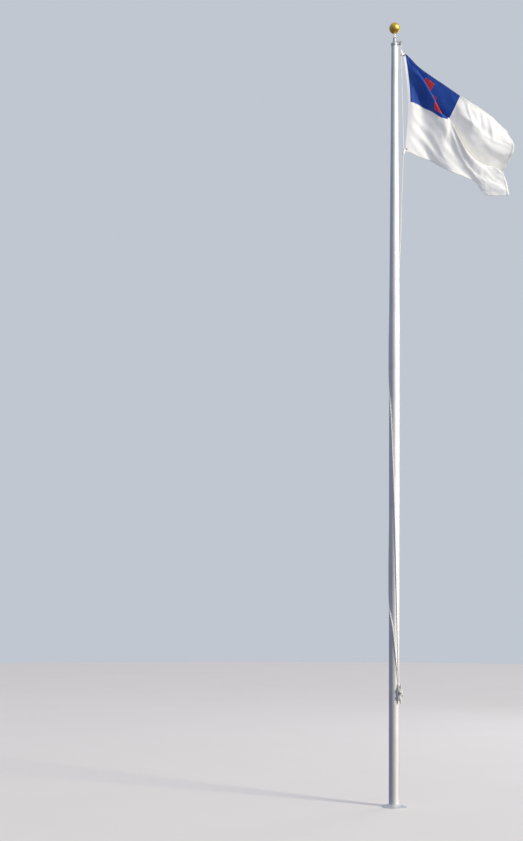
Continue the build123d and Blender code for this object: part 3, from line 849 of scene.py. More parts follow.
def upright_frames(points: np.ndarray) -> tuple[np.ndarray, np.ndarray]:
    """Two unit vectors across a line at each of its points, with no twist between neighbours.

    Args:
        points: the line.

    Returns:
        The first and the second vector at each point.
    """
    along = np.gradient(points, axis=0)
    along /= np.linalg.norm(along, axis=1, keepdims=True)
    start = np.cross(along[0], (0.0, 0.0, 1.0))
    if np.linalg.norm(start) < 1e-3:
        start = np.cross(along[0], (0.0, 1.0, 0.0))
    first = np.empty_like(points)
    first[0] = start / np.linalg.norm(start)
    for index in range(1, len(points)):
        carried = first[index - 1] - along[index] * (first[index - 1] @ along[index])
        first[index] = carried / np.linalg.norm(carried)
    return first, np.cross(along, first)


def reaches(points: np.ndarray) -> np.ndarray:
    """How far along a line each of its points lies."""
    runs = np.linalg.norm(np.diff(points, axis=0), axis=1)
    return np.concatenate([[0.0], np.cumsum(runs)])


def walked(points: np.ndarray, step: float) -> np.ndarray:
    """The same line with points at even steps along it.

    Args:
        points: the line.
        step: the distance between its new points, at most.

    Returns:
        The new points.
    """
    reach = reaches(points)
    count = max(2, math.ceil(reach[-1] / step) + 1)
    stops = np.linspace(0, reach[-1], count)
    return np.stack([np.interp(stops, reach, points[:, axis]) for axis in range(3)], axis=1)


# The pole and the collar at its foot


@dataclass(frozen=True)
class Pole:
    """The tapered tube's sizes, as the frame has them."""

    butt_radius: float = 63.5 * MM
    top_radius: float = 38.1 * MM
    straight_height: float = 5.791
    height: float = 9.144

    def radius(self, height: float) -> float:
        """The tube's outer radius at a height."""
        share = max(0.0, height - self.straight_height) / (self.height - self.straight_height)
        return self.butt_radius + (self.top_radius - self.butt_radius) * share


POLE = Pole()


@dataclass
class Shaft:
    """The small fixings on the tapered tube and its flash collar."""

    bead: float = 3.0 * MM
    bead_steps: int = 7
    bead_sides: int = 96
    screws_round: int = 3
    screw_radius: float = 3.2 * MM
    screw_drop: float = 28 * MM
    screw_sink: float = 0.4 * MM
    screw_turn: float = 0.6
    screw_sides: int = 18
    screw_rings: tuple[tuple[float, float], ...] = (
        (1.0, 0.0),
        (1.0, 0.9),
        (0.85, 1.15),
        (0.5, 1.15),
        (0.5, 0.5),
        (0.02, 0.45),
    )

    def seal(self) -> bpy.types.Object:
        """The bead of sealant between the collar's neck and the pole.

        Returns:
            The bead.
        """
        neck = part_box("flash_collar")[1][2]
        profile = [(POLE.butt_radius, neck), (POLE.butt_radius + self.bead, neck)]
        for angle in np.linspace(0, math.pi / 2, self.bead_steps)[1:]:
            reach = POLE.butt_radius + self.bead * (1 - math.sin(angle))
            profile.append((reach, neck + self.bead * (1 - math.cos(angle))))
        bead = lathed("collar_sealant", profile, self.bead_sides)
        finish_with(bead, SEALANT)
        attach(bead, "pole")
        return bead

    def set_screws(self) -> bpy.types.Object:
        """The socket screws that hold the truck's plug in the pole's top.

        Returns:
            The screws, as one mesh.
        """
        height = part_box("pole_shaft")[1][2] - self.screw_drop
        seat = POLE.top_radius - self.screw_sink
        angles = np.linspace(0, 2 * math.pi, self.screw_sides, endpoint=False)
        points: list[Vector] = []
        faces: list[tuple[int, ...]] = []
        for screw in range(self.screws_round):
            angle_round = 2 * math.pi * screw / self.screws_round + self.screw_turn
            turn = Matrix.Rotation(angle_round, 4, "Z")
            base = len(points)
            for share, out in self.screw_rings:
                across = self.screw_radius * share
                for angle in angles:
                    side, up = across * math.cos(angle), across * math.sin(angle)
                    points.append(turn @ Vector((seat + out * MM, side, height + up)))
            for face in ring_faces(len(self.screw_rings), self.screw_sides):
                faces.append(tuple(base + at for at in face))
        screws = solid_mesh("truck_set_screws", np.array(points), faces)
        finish_with(screws, "stainless")
        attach(screws, "pole")
        return screws

    def build(self) -> list[bpy.types.Object]:
        """Make every piece of the shaft."""
        return [self.seal(), self.set_screws()]


# The finial


@dataclass
class Finial:
    """The seam bead round the ball, where its spun halves meet."""

    bead_radius: float = 0.9 * MM
    bead_sink: float = 0.3 * MM
    bead_steps: int = 12
    bead_sides: int = 128

    def build(self) -> list[bpy.types.Object]:
        """Make the seam bead.

        Returns:
            The bead.
        """
        low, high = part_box("ball_upper_half")
        reach = (high[0] - low[0]) / 2 - self.bead_sink
        profile = [
            (reach + self.bead_radius * math.cos(a), low[2] + self.bead_radius * math.sin(a))
            for a in np.linspace(0, 2 * math.pi, self.bead_steps, endpoint=False)
        ]
        bead = lathed("ball_seam", profile, self.bead_sides)
        finish_with(bead, "gold_anodised")
        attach(bead, "pole")
        return [bead]


# The halyard


@dataclass
class Halyard:
    """The rope: over the sheave, down both legs, through the snaps and round the cleat.

    A stop is the degrees round the pole and the height at which a leg passes its side. The covers'
    profiles are radii and heights in millimetres.
    """

    radius: float = 4.0 * MM
    seat: float = 0.3 * MM
    hug_step: float = 30.0
    sheave_offset: float = 61 * MM
    sheave_height: float = 9.180
    groove_radius: float = 16 * MM
    split_height: float = 1.75
    hoist_travel: float = 6.05
    wrap_top: float = 1.4258
    cleat_azimuth: float = -50.0
    cleat_height: float = 1.343
    turns: int = 6
    eye_hole_radius: float = 4.3 * MM
    eye_rim: float = 5.0 * MM
    sides: int = 16
    long_step: float = 9 * MM
    end_step: float = 3 * MM
    braid_step: float = 1.6 * MM
    braid_relief: float = 0.10
    carriers: int = 8
    pitch: float = 0.014
    return_stops: tuple[tuple[float, float], ...] = (
        (20, 8.930),
        (48, 8.600),
        (74, 7.900),
        (100, 7.000),
        (124, 6.300),
        (150, 5.791),
        (180, 5.170),
        (206, 4.950),
        (228, 4.700),
        (242, 4.400),
        (254, 4.050),
        (265, 3.690),
        (285, 2.700),
    )
    down_stops: tuple[tuple[float, float], ...] = (
        (62, 5.791),
        (88, 5.050),
        (116, 4.250),
        (145, 3.400),
        (172, 2.620),
        (200, 2.370),
        (226, 2.270),
        (248, 2.150),
        (267, 1.960),
    )
    cover_sides: int = 40
    cover_outside: tuple[tuple[float, float], ...] = (
        (5.6, 0),
        (10.6, 3),
        (14.0, 9),
        (15.2, 20),
        (15.2, 57),
        (13.6, 69),
        (10.0, 77),
        (5.8, 81),
    )
    cover_inside: tuple[tuple[float, float], ...] = (
        (4.6, 80),
        (9, 75),
        (12.2, 67),
        (13.6, 57),
        (13.6, 20),
        (12.6, 10.5),
        (9.6, 5),
        (4.6, 1.6),
    )

    @property
    def inner_leg(self) -> float:
        """How far from the pole's axis the rope leaves the sheave on its inner side."""
        return self.sheave_offset - self.groove_radius

    @property
    def outer_leg(self) -> float:
        """How far from the pole's axis the rope leaves the sheave on its outer side."""
        return self.sheave_offset + self.groove_radius

    def clear_reach(self, side: float) -> float:
        """How far out a route point lies, for the rope to clear a round side of this radius."""
        return (side + self.seat + self.radius) / math.cos(math.radians(self.hug_step / 2))

    def hug(self, azimuth: float, height: float, least: float = 0.0) -> Vector:
        """A route point from which the rope clears the pole's side by its seat gap.

        Args:
            azimuth: degrees round the pole.
            height: above the ground.
            least: the smallest radius to clear, for a stretch that is lowered past a wider one.

        Returns:
            The point.
        """
        reach = self.clear_reach(max(POLE.radius(height), least))
        turn = math.radians(azimuth)
        return Vector((reach * math.cos(turn), reach * math.sin(turn), height))

    def at_cleat(self, reach: float, across: float, height: float) -> Vector:
        """A point placed from the cleat's middle line.

        Args:
            reach: how far out from the pole's axis.
            across: how far to the line's right.
            height: above the ground.

        Returns:
            The point.
        """
        along = math.radians(self.cleat_azimuth)
        out_x, out_y = math.cos(along), math.sin(along)
        return Vector((reach * out_x - across * out_y, reach * out_y + across * out_x, height))

    def beside_cleat(self, across: float, height: float, proud: float = 0.0) -> Vector:
        """A point on the pole's face beside the cleat's middle line.

        Args:
            across: how far to its right.
            height: above the ground.
            proud: how far out from where the rope lies on the pole.

        Returns:
            The point.
        """
        return self.at_cleat(self.clear_reach(POLE.butt_radius) + proud, across, height)

    @staticmethod
    def line(route: Sequence[Vector]) -> np.ndarray:
        """The smooth line of a route: a NURBS spline with its points as control points.

        Args:
            route: the points.

        Returns:
            Points read from the spline.
        """
        curve = bpy.data.curves.new("route", "CURVE")
        curve.dimensions = "3D"
        curve.resolution_u = 24
        spline = curve.splines.new("NURBS")
        spline.points.add(len(route) - 1)
        for point, place in zip(spline.points, route):
            point.co = (*place, 1.0)
        spline.order_u = 3
        spline.use_endpoint_u = True
        carrier = bpy.data.objects.new("route", curve)
        bpy.context.scene.collection.objects.link(carrier)
        bpy.context.view_layer.update()
        graph = bpy.context.evaluated_depsgraph_get()
        read = bpy.data.meshes.new_from_object(carrier.evaluated_get(graph))
        points = np.array([tuple(vertex.co) for vertex in read.vertices])
        bpy.data.objects.remove(carrier)
        bpy.data.meshes.remove(read)
        return points

    def rope(
        self, name: str, points: np.ndarray, step: float, braided: bool = False
    ) -> bpy.types.Object:
        """A rope's mesh along a line, with its turn and length as UV coordinates.

        Args:
            name: the piece's name.
            points: the line.
            step: the length of one ring of faces.
            braided: whether the braid is cut into the mesh.

        Returns:
            The rope.
        """
        path = walked(points, step)
        first, second = upright_frames(path)
        reach = reaches(path)
        turns = np.linspace(0, 2 * math.pi, self.sides, endpoint=False)
        radius = np.full((len(path), self.sides), self.radius)
        if braided:
            wave = np.pi * reach[:, None] / self.pitch
            half = self.carriers * turns[None, :] / 2
            diamond = np.abs(np.sin(half + wave)) * np.abs(np.sin(half - wave))
            radius *= 1 - self.braid_relief * (1 - diamond)
        rings = (
            path[:, None]
            + first[:, None] * (radius * np.cos(turns))[:, :, None]
            + second[:, None] * (radius * np.sin(turns))[:, :, None]
        )
        made = solid_mesh(name, rings.reshape(-1, 3), ring_faces(len(path), self.sides))
        layer = made.data.uv_layers.new(name="lay")
        for polygon in made.data.polygons:
            corners = [made.data.loops[at].vertex_index for at in polygon.loop_indices]
            around = [corner % self.sides for corner in corners]
            seam = len(corners) == 4 and max(around) - min(around) > 1
            for at, corner, side in zip(polygon.loop_indices, corners, around):
                turned = self.sides if seam and side == 0 else side
                layer.data[at].uv = (turned / self.sides, reach[corner // self.sides])
        return finish_with(made, "halyard_rope")

    def return_route(self) -> list[Vector]:
        """From the sheave's inner side, behind the pole and round its left side to the cleat.

        Returns:
            The route.
        """
        return [
            Vector((self.inner_leg, 0, self.sheave_height)),
            Vector((self.inner_leg, 0, 9.104)),
            *(self.hug(*stop) for stop in self.return_stops),
            self.hug(303, self.split_height),
            self.hug(307, 1.600),
            self.beside_cleat(6 * MM, self.wrap_top + 30 * MM),
            self.beside_cleat(6 * MM, self.wrap_top),
        ]

    def down_route(self, eye: Vector) -> list[Vector]:
        """From the lower snap down the front, behind the pole and round to above the cleat.

        Args:
            eye: the middle of the lower snap's eye.

        Returns:
            The route.
        """
        return [
            eye,
            Vector((0.095, 0.003, 7.494)),
            Vector((0.083, 0.013, 7.060)),
            Vector((0.073, 0.028, 6.699)),
            self.hug(42, 6.277, POLE.butt_radius),
            *(self.hug(*stop) for stop in self.down_stops),
            self.hug(282, self.split_height),
        ]

    def down_end_route(self) -> list[Vector]:
        """The down leg's last stretch to the cleat.

        Returns:
            The route.
        """
        return [
            self.hug(282, self.split_height),
            self.hug(294, 1.580),
            self.beside_cleat(-6 * MM, self.wrap_top + 40 * MM),
            self.beside_cleat(-6 * MM, self.wrap_top),
        ]

    def wrap_route(self) -> list[Vector]:
        """Figure-of-eight turns round the cleat's horns, each laid on the one before.

        Returns:
            The route.
        """

        def at(out: float, across: float, up: float) -> Vector:
            """A point by its distance out from the cleat's seat, across and up, in millimetres."""
            reach = POLE.butt_radius + self.seat + out * MM
            return self.at_cleat(reach, across * MM, self.cleat_height + up * MM)

        route = [
            self.beside_cleat(6 * MM, self.wrap_top),
            self.beside_cleat(12 * MM, self.wrap_top - 26 * MM, 2 * MM),
            at(9, 19, 30),
            at(9, 21, -30),
            at(9, 0, -44),
            at(9, -21, -30),
            at(9, -21, 20),
        ]
        for turn in range(self.turns):
            horn = 47 + 6.4 * turn
            under = 8 + (turn % 3) * 7.4
            wide = 21 + 1.1 * turn
            front = 49 + 2.3 * turn
            flank = front - 22
            over = front + 5
            route += [
                at(under, -10, horn),
                at(under, 12, horn - 1),
                at(flank, wide, horn * 0.55),
                at(front, wide * 0.42, horn * 0.2),
                at(front, -wide * 0.42, -horn * 0.2),
                at(flank, -wide, -horn * 0.55),
                at(under, -12, -horn),
                at(under, 12, -horn - 1),
                at(flank, wide, -horn * 0.55),
                at(over, wide * 0.42, -horn * 0.2),
                at(over, -wide * 0.42, horn * 0.2),
                at(flank, -wide, horn * 0.55),
            ]
        route += [
            at(16, -14, 62),
            self.beside_cleat(-9 * MM, self.wrap_top - 12 * MM, 2 * MM),
            self.beside_cleat(-6 * MM, self.wrap_top),
        ]
        return route

    def snap_eye(self, node: str) -> Vector:
        """The middle of a snap's rope eye, from the snap's box."""
        low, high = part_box(node)
        return Vector((low[0] + self.eye_hole_radius + self.eye_rim, 0, (low[2] + high[2]) / 2))

    def cover(self, name: str, eye: Vector, below: bool) -> bpy.types.Object:
        """A moulded vinyl cover over a snap's eye and the rope's knot at it.

        Args:
            name: the piece's name.
            eye: the middle of the snap's eye.
            below: whether the cover hangs under the eye.

        Returns:
            The cover.
        """
        profile = [(r * MM, z * MM) for r, z in self.cover_outside + self.cover_inside]
        made = lathed(name, profile, self.cover_sides)
        upward = -MM if below else MM
        foot = Vector((eye.x + 12 * MM, 0, eye.z - 8 * upward))
        head = Vector((eye.x - 7 * MM, 0, eye.z + 73 * upward))
        lean = (head - foot).to_track_quat("Z", "Y").to_matrix().to_4x4()
        made.data.transform(Matrix.Translation(foot) @ lean)
        finish_with(made, VINYL)
        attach(made, "flag")
        return made

    def return_leg(self) -> bpy.types.Object:
        """The leg from the sheave's inner side to the cleat.

        Returns:
            The leg.
        """
        back = self.rope("halyard_return", self.line(self.return_route()), self.long_step)
        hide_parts("halyard_return_leg", "halyard_return_end")
        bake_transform(back)
        return back

    def over_sheave(self) -> bpy.types.Object:
        """The half turn in the sheave's groove.

        Returns:
            The half turn.
        """
        angles = np.linspace(0, math.pi, 25)
        across = self.sheave_offset - self.groove_radius * np.cos(angles)
        up = self.sheave_height + self.groove_radius * np.sin(angles)
        arc = np.stack([across, np.zeros_like(angles), up], axis=1)
        over = self.rope("halyard_over", arc, self.braid_step, braided=True)
        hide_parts("halyard_over_sheave")
        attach(over, "truck")
        return over

    def hoist_leg(self, upper: Vector) -> bpy.types.Object:
        """The leg from the sheave's outer side to the upper snap.

        Args:
            upper: the middle of the upper snap's eye.

        Returns:
            The leg.
        """
        run = np.array([(self.outer_leg, 0, self.sheave_height), tuple(upper)])
        hoist = self.rope("halyard_hoist", run, self.braid_step, braided=True)
        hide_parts("halyard_hoist_leg")
        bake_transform(hoist)
        return hoist

    def between_snaps(self, upper: Vector, lower: Vector) -> bpy.types.Object:
        """The stretch between the two snaps.

        Args:
            upper: the middle of the upper snap's eye.
            lower: the middle of the lower snap's eye.

        Returns:
            The stretch.
        """
        run = np.array([tuple(upper), tuple(lower)])
        between = self.rope("halyard_between", run, self.end_step)
        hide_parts("halyard_between_snaps")
        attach(between, "flag")
        return between

    def down_leg(self, lower: Vector) -> bpy.types.Object:
        """The leg below the lower snap, which shortens as the flag comes down.

        Args:
            lower: the middle of the lower snap's eye.

        Returns:
            The leg.
        """
        down = self.rope("halyard_down", self.line(self.down_route(lower)), self.long_step)
        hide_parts("halyard_down_leg")
        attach(down, "truck")
        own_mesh(down)
        return down

    def down_end(self) -> bpy.types.Object:
        """The down leg's last stretch, fixed beside the cleat.

        Returns:
            The stretch.
        """
        tail = self.rope("halyard_down_tail", self.line(self.down_end_route()), self.end_step)
        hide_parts("halyard_down_end")
        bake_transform(tail)
        return tail

    def cleat_turns(self) -> bpy.types.Object:
        """The turns made fast on the cleat.

        Returns:
            The turns.
        """
        wraps = self.line(self.wrap_route())
        made = self.rope("halyard_turns", wraps, self.braid_step, braided=True)
        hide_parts("halyard_wraps")
        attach(made, "pole")
        return made

    def build(self) -> list[bpy.types.Object]:
        """Make the rope's pieces and hang each on the bodies that carry it.

        Returns:
            The pieces.
        """
        upper = self.snap_eye("snap_upper")
        lower = self.snap_eye("snap_lower")
        return [
            self.return_leg(),
            self.over_sheave(),
            self.hoist_leg(upper),
            self.between_snaps(upper, lower),
            self.down_leg(lower),
            self.down_end(),
            self.cleat_turns(),
            self.cover("snap_cover_upper", upper, False),
            self.cover("snap_cover_lower", lower, True),
        ]


# The flag


def smooth_line(at: np.ndarray, stops: np.ndarray, values: np.ndarray) -> np.ndarray:
    """Values along a smooth line that passes those at the stops.

    Args:
        at: positions to read.
        stops: rising positions.
        values: one row for each stop.

    Returns:
        One row for each position.
    """
    width = np.diff(stops)
    rise = np.diff(values, axis=0) / width[:, None]
    slope = np.empty_like(values)
    slope[0], slope[-1] = rise[0], rise[-1]
    before, after = width[:-1, None], width[1:, None]
    slope[1:-1] = (rise[:-1] * after + rise[1:] * before) / (before + after)
    index = np.clip(np.searchsorted(stops, at, side="right") - 1, 0, len(stops) - 2)
    span = width[index][:, None]
    share = ((at - stops[index]) / width[index])[:, None]
    near = (1 + 2 * share) * (1 - share) ** 2
    return (
        values[index] * near
        + values[index + 1] * (1 - near)
        + slope[index] * span * share * (1 - share) ** 2
        + slope[index + 1] * span * share**2 * (share - 1)
    )


@dataclass(frozen=True)
class Cut:
    """The flag's cut sizes, in millimetres."""

    fly: float = 1829.0
    hoist: float = 1219.0
    header: float = 30.0
    lap: float = 6.0
    canton_fly: float = 832.0
    canton_hoist: float = 609.5
    cross_out: float = 416.0
    cross_down: float = 55.0
    cross_height: float = 505.0
    cross_span: float = 320.0
    arm_down: float = 125.0
    arm_width: float = 112.0
    upright_width: float = 130.0
    hem: float = 16.0
    fly_hem: float = 30.0
    seam: float = 5.0
    step: float = 11.0

    @property
    def cloth_start(self) -> float:
        """Where the cloth begins along the fly, inside the header."""
        return self.header - self.lap

    @property
    def arm_top(self) -> float:
        """Where the cross's arms begin, down the hoist."""
        return self.cross_down + self.arm_down

    @property
    def arm_bottom(self) -> float:
        """Where the cross's arms end, down the hoist."""
        return self.arm_top + self.arm_width

    @property
    def cross_bottom(self) -> float:
        """Where the cross ends, down the hoist."""
        return self.cross_down + self.cross_height

    def in_cross(self, out: float, down: float, grow: float = 0.0) -> bool:
        """Whether a point lies in the cross, or in the cross grown all round.

        Args:
            out: its distance along the fly.
            down: its distance down the hoist.
            grow: how far the cross is grown, or shrunk if it is negative.

        Returns:
            Whether it does.
        """
        aside = abs(out - self.cross_out) - grow
        upright = self.cross_down - grow < down < self.cross_bottom + grow
        arms = self.arm_top - grow < down < self.arm_bottom + grow
        upright = upright and aside < self.upright_width / 2
        return upright or (arms and aside < self.cross_span / 2)

    def piece(self, out: float, down: float) -> str:
        """The coloured piece that a point of the cut belongs to.

        Args:
            out: its distance along the fly.
            down: its distance down the hoist.

        Returns:
            The piece's name.
        """
        if self.in_cross(out, down):
            return "flag_red_cross"
        if down > self.canton_hoist:
            return "flag_lower_field"
        return "flag_blue_canton" if out < self.canton_fly else "flag_upper_field"

    def grid_lines(self) -> tuple[np.ndarray, np.ndarray]:
        """Lines along the fly and down the hoist that keep to every seam and hem.

        Returns:
            The distances along the fly and down the hoist.
        """
        across = [self.canton_fly]
        for width in (self.cross_span, self.upright_width):
            across += [self.cross_out - width / 2, self.cross_out + width / 2]
        down = [self.canton_hoist, self.cross_down, self.cross_bottom]
        down += [self.arm_top, self.arm_bottom]
        fly_stops = [self.cloth_start, self.fly, self.fly - self.fly_hem]
        hoist_stops = [0.0, self.hem, self.hoist - self.hem, self.hoist]
        for stops, seams in ((fly_stops, across), (hoist_stops, down)):
            for seam in seams:
                stops += [seam - self.seam, seam, seam + self.seam]
        return self.divided(fly_stops), self.divided(hoist_stops)

    def divided(self, stops: list[float]) -> np.ndarray:
        """The stops with even lines between them, at most a step apart.

        Args:
            stops: the distances, in any order.

        Returns:
            All the lines, in order.
        """
        ordered = sorted(set(stops))
        lines = [ordered[0]]
        for start, end in zip(ordered, ordered[1:]):
            count = math.ceil((end - start) / self.step)
            lines += [start + (end - start) * (part + 1) / count for part in range(count)]
        return np.array(lines)


@dataclass(frozen=True)
class Fold:
    """A soft ridge or, with a negative height, a trough along a line of the cut, in millimetres."""

    start: tuple[float, float]
    end: tuple[float, float]
    width: float
    height: float
    end_width: float = 0.0

    def relief(self, out: np.ndarray, down: np.ndarray) -> np.ndarray:
        """How far the fold lifts each point of the cut, towards the back.

        Args:
            out: distances along the fly, in millimetres.
            down: distances down the hoist, in millimetres.

        Returns:
            The lifts, in millimetres.
        """
        origin = np.array(self.start)
        run = np.array(self.end) - origin
        length = float(np.hypot(*run))
        unit = run / length
        along = ((out - origin[0]) * unit[0] + (down - origin[1]) * unit[1]) / length
        aside = (out - origin[0]) * -unit[1] + (down - origin[1]) * unit[0]
        inside = np.clip(along, 0, 1)
        width = self.width + ((self.end_width or self.width) - self.width) * inside
        taper = np.sin(np.pi * inside) ** 0.6 * ((along >= 0) & (along <= 1))
        return self.height * taper * np.exp(-((aside / width) ** 2))


@dataclass
class Drape:
    """Where each point of the flag's cut lies as it hangs.

    Each line of the table is a place along the fly with seven places down the hoist: share of the
    hoist, then how far the cloth lies out, back and down from its top corner, in millimetres.
    """

    corner: Vector
    cut: Cut
    header_ease: float = 60.0
    wrinkle_size: tuple[float, float] = (170.0, 110.0)
    long_fold_size: tuple[float, float] = (620.0, 105.0)
    pull: tuple[float, float] = (0.92, 0.38)
    pucker_reach: float = 26.0
    pucker_height: float = 1.3
    table: dict[float, tuple[tuple[float, float, float, float], ...]] = field(
        default_factory=lambda: {
            0.0: (
                (0.0, 0, 0, 0), (0.012, 3, 0, 15), (0.024, 6, 0, 31),
                (0.036, 9, 0, 48), (0.06, 13, 0, 77), (0.5, 64, 0, 600),
                (1.0, 31, 0, 1199),
            ),
            0.0164: (
                (0.0, 27, 0, 13), (0.012, 30, 0, 29), (0.024, 33, 0, 45),
                (0.036, 36, 0, 61), (0.06, 41, 0, 91), (0.5, 91, -8, 604),
                (1.0, 60, 0, 1208),
            ),
            0.115: (
                (0.0, 186, -8, 171), (0.03, 174, 0, 198), (0.06, 160, 12, 223),
                (0.125, 178, 44, 290), (0.19, 219, -20, 310), (0.5, 243, 22, 659),
                (1.0, 203, 20, 1265),
            ),
            0.23: (
                (0.0, 351, -20, 300), (0.055, 326, -12, 358), (0.108, 302, 0, 414),
                (0.25, 298, 75, 546), (0.4, 413, -40, 695), (0.68, 388, -25, 989),
                (1.0, 333, 40, 1304),
            ),
            0.34: (
                (0.0, 520, -34, 422), (0.1, 471, -14, 525), (0.2, 425, 12, 624),
                (0.33, 414, 96, 724), (0.46, 512, -42, 794), (0.72, 482, -55, 1127),
                (1.0, 455, -5, 1393),
            ),
            0.455: (
                (0.0, 684, -50, 545), (0.125, 624, -30, 674), (0.25, 558, 18, 800),
                (0.38, 500, 92, 876), (0.5, 553, -30, 819), (0.75, 580, -45, 1159),
                (1.0, 587, -60, 1482),
            ),
            0.66: (
                (0.0, 910, -20, 672), (0.22, 854, -100, 970), (0.42, 753, 20, 1142),
                (0.49, 733, 125, 1181), (0.58, 767, -60, 1229), (0.79, 790, -75, 1435),
                (1.0, 846, -72, 1592),
            ),
            0.83: (
                (0.0, 1105, 30, 788), (0.205, 1067, -70, 1080), (0.49, 973, 60, 1331),
                (0.56, 955, 132, 1391), (0.63, 975, -25, 1374), (0.83, 980, -105, 1592),
                (1.0, 984, -105, 1765),
            ),
            1.0: (
                (0.0, 1267, 60, 929), (0.228, 1332, -60, 1165), (0.47, 1257, 75, 1368),
                (0.55, 1213, 140, 1446), (0.62, 1183, -20, 1451), (0.84, 1237, -110, 1643),
                (1.0, 1242, -200, 1800),
            ),
        }
    )
    folds: tuple[Fold, ...] = (
        Fold((20, 190), (600, 680), 30, -20, 50),
        Fold((20, 370), (400, 680), 32, 20, 50),
        Fold((20, 130), (110, 800), 22, 8, 50),
        Fold((970, 40), (1180, 250), 28, -22),
        Fold((1220, 20), (1370, 270), 30, 20),
        Fold((1400, 30), (1540, 250), 30, -22),
        Fold((880, 200), (1800, 290), 22, -14, 30),
        Fold((60, 700), (700, 1150), 40, 6, 60),
        Fold((60, 850), (560, 1190), 40, -6, 55),
        Fold((500, 700), (1150, 1180), 42, 8, 70),
        Fold((760, 740), (1500, 1170), 40, -8, 60),
        Fold((900, 60), (1780, 330), 36, 14, 60),
        Fold((860, 150), (1760, 470), 36, -13, 55),
        Fold((1180, 250), (1800, 560), 30, 12, 50),
        Fold((1500, 700), (1810, 880), 26, -12, 40),
        Fold((1450, 820), (1810, 1010), 26, 12, 40),
        Fold((1500, 960), (1800, 1130), 24, -10, 36),
    )

    def places(self, out: np.ndarray, down: np.ndarray) -> np.ndarray:
        """The cloth's middle surface on a grid of the cut.

        Args:
            out: distances along the fly, in millimetres.
            down: distances down the hoist, in millimetres.

        Returns:
            An array of down by out by 3, in metres in the frame.
        """
        along = np.array(list(self.table))
        net = np.array(list(self.table.values()), float)
        share = out / self.cut.fly
        rows = np.stack([smooth_line(share, along, net[:, row]) for row in range(net.shape[1])])
        grid = np.empty((len(down), len(out), 3))
        for column in range(len(out)):
            stops, values = rows[:, column, 0], rows[:, column, 1:]
            grid[:, column] = smooth_line(down / self.cut.hoist, stops, values)
        return np.array(self.corner) + grid * np.array([1, 1, -1]) * MM

    def surface(self, out: np.ndarray, down: np.ndarray) -> tuple[np.ndarray, np.ndarray]:
        """The cloth with its smaller folds, and its unit normals.

        Args:
            out: distances along the fly, in millimetres.
            down: distances down the hoist, in millimetres.

        Returns:
            The places and the normals, each down by out by 3.
        """
        grid = self.places(out, down)
        wide, high = np.meshgrid(out, down)
        relief = sum(fold.relief(wide, high) for fold in self.folds)
        relief = relief + self.crumple(wide, high)
        ease = np.clip((wide - self.cut.header) / self.header_ease, 0, 1)
        lifted = grid + self.normals(grid) * (relief * ease * MM)[..., None]
        return lifted, self.normals(lifted)

    def crumple(self, out: np.ndarray, down: np.ndarray) -> np.ndarray:
        """Long soft folds down the cloth's pull, small wrinkles and puckered hems.

        Args:
            out: distances along the fly, in millimetres.
            down: distances down the hoist, in millimetres.

        Returns:
            How far they lift each point, in millimetres.
        """
        small = np.empty_like(out)
        long_folds = np.empty_like(out)
        wide, high = self.wrinkle_size
        length, breadth = self.long_fold_size
        ahead, aslant = self.pull
        for index in np.ndindex(out.shape):
            place = Vector((out[index] / wide, down[index] / high, 3.7))
            small[index] = noise.noise(place) + 0.45 * noise.noise(place * 2.6)
            along = out[index] * ahead + down[index] * aslant
            across = down[index] * ahead - out[index] * aslant
            long_folds[index] = noise.noise(Vector((along / length, across / breadth, 8.2)))
        edge = np.minimum(np.minimum(down, self.cut.hoist - down), self.cut.fly - out)
        gathers = np.sin(out / 6.9 + 2 * np.sin(out / 83)) + np.sin(down / 7.7)
        outer = np.clip((out - 500) / 1300, 0, 1)
        lower = np.clip((down - 560) / 200, 0, 1)
        return (
            small * (3.0 + 7.0 * outer)
            + long_folds * (8.0 + 8.0 * lower)
            + self.pucker_height * np.exp(-edge / self.pucker_reach) * gathers
        )

    @staticmethod
    def normals(grid: np.ndarray) -> np.ndarray:
        """Unit normals of a grid of places, towards the back of the flag.

        Args:
            grid: the places.

        Returns:
            The normals, in the same order.
        """
        along = np.gradient(grid, axis=1)
        across = np.gradient(grid, axis=0)
        normal = np.cross(along, across)
        return normal / np.linalg.norm(normal, axis=2, keepdims=True)


Row = tuple[tuple[float, float], tuple[float, float]]


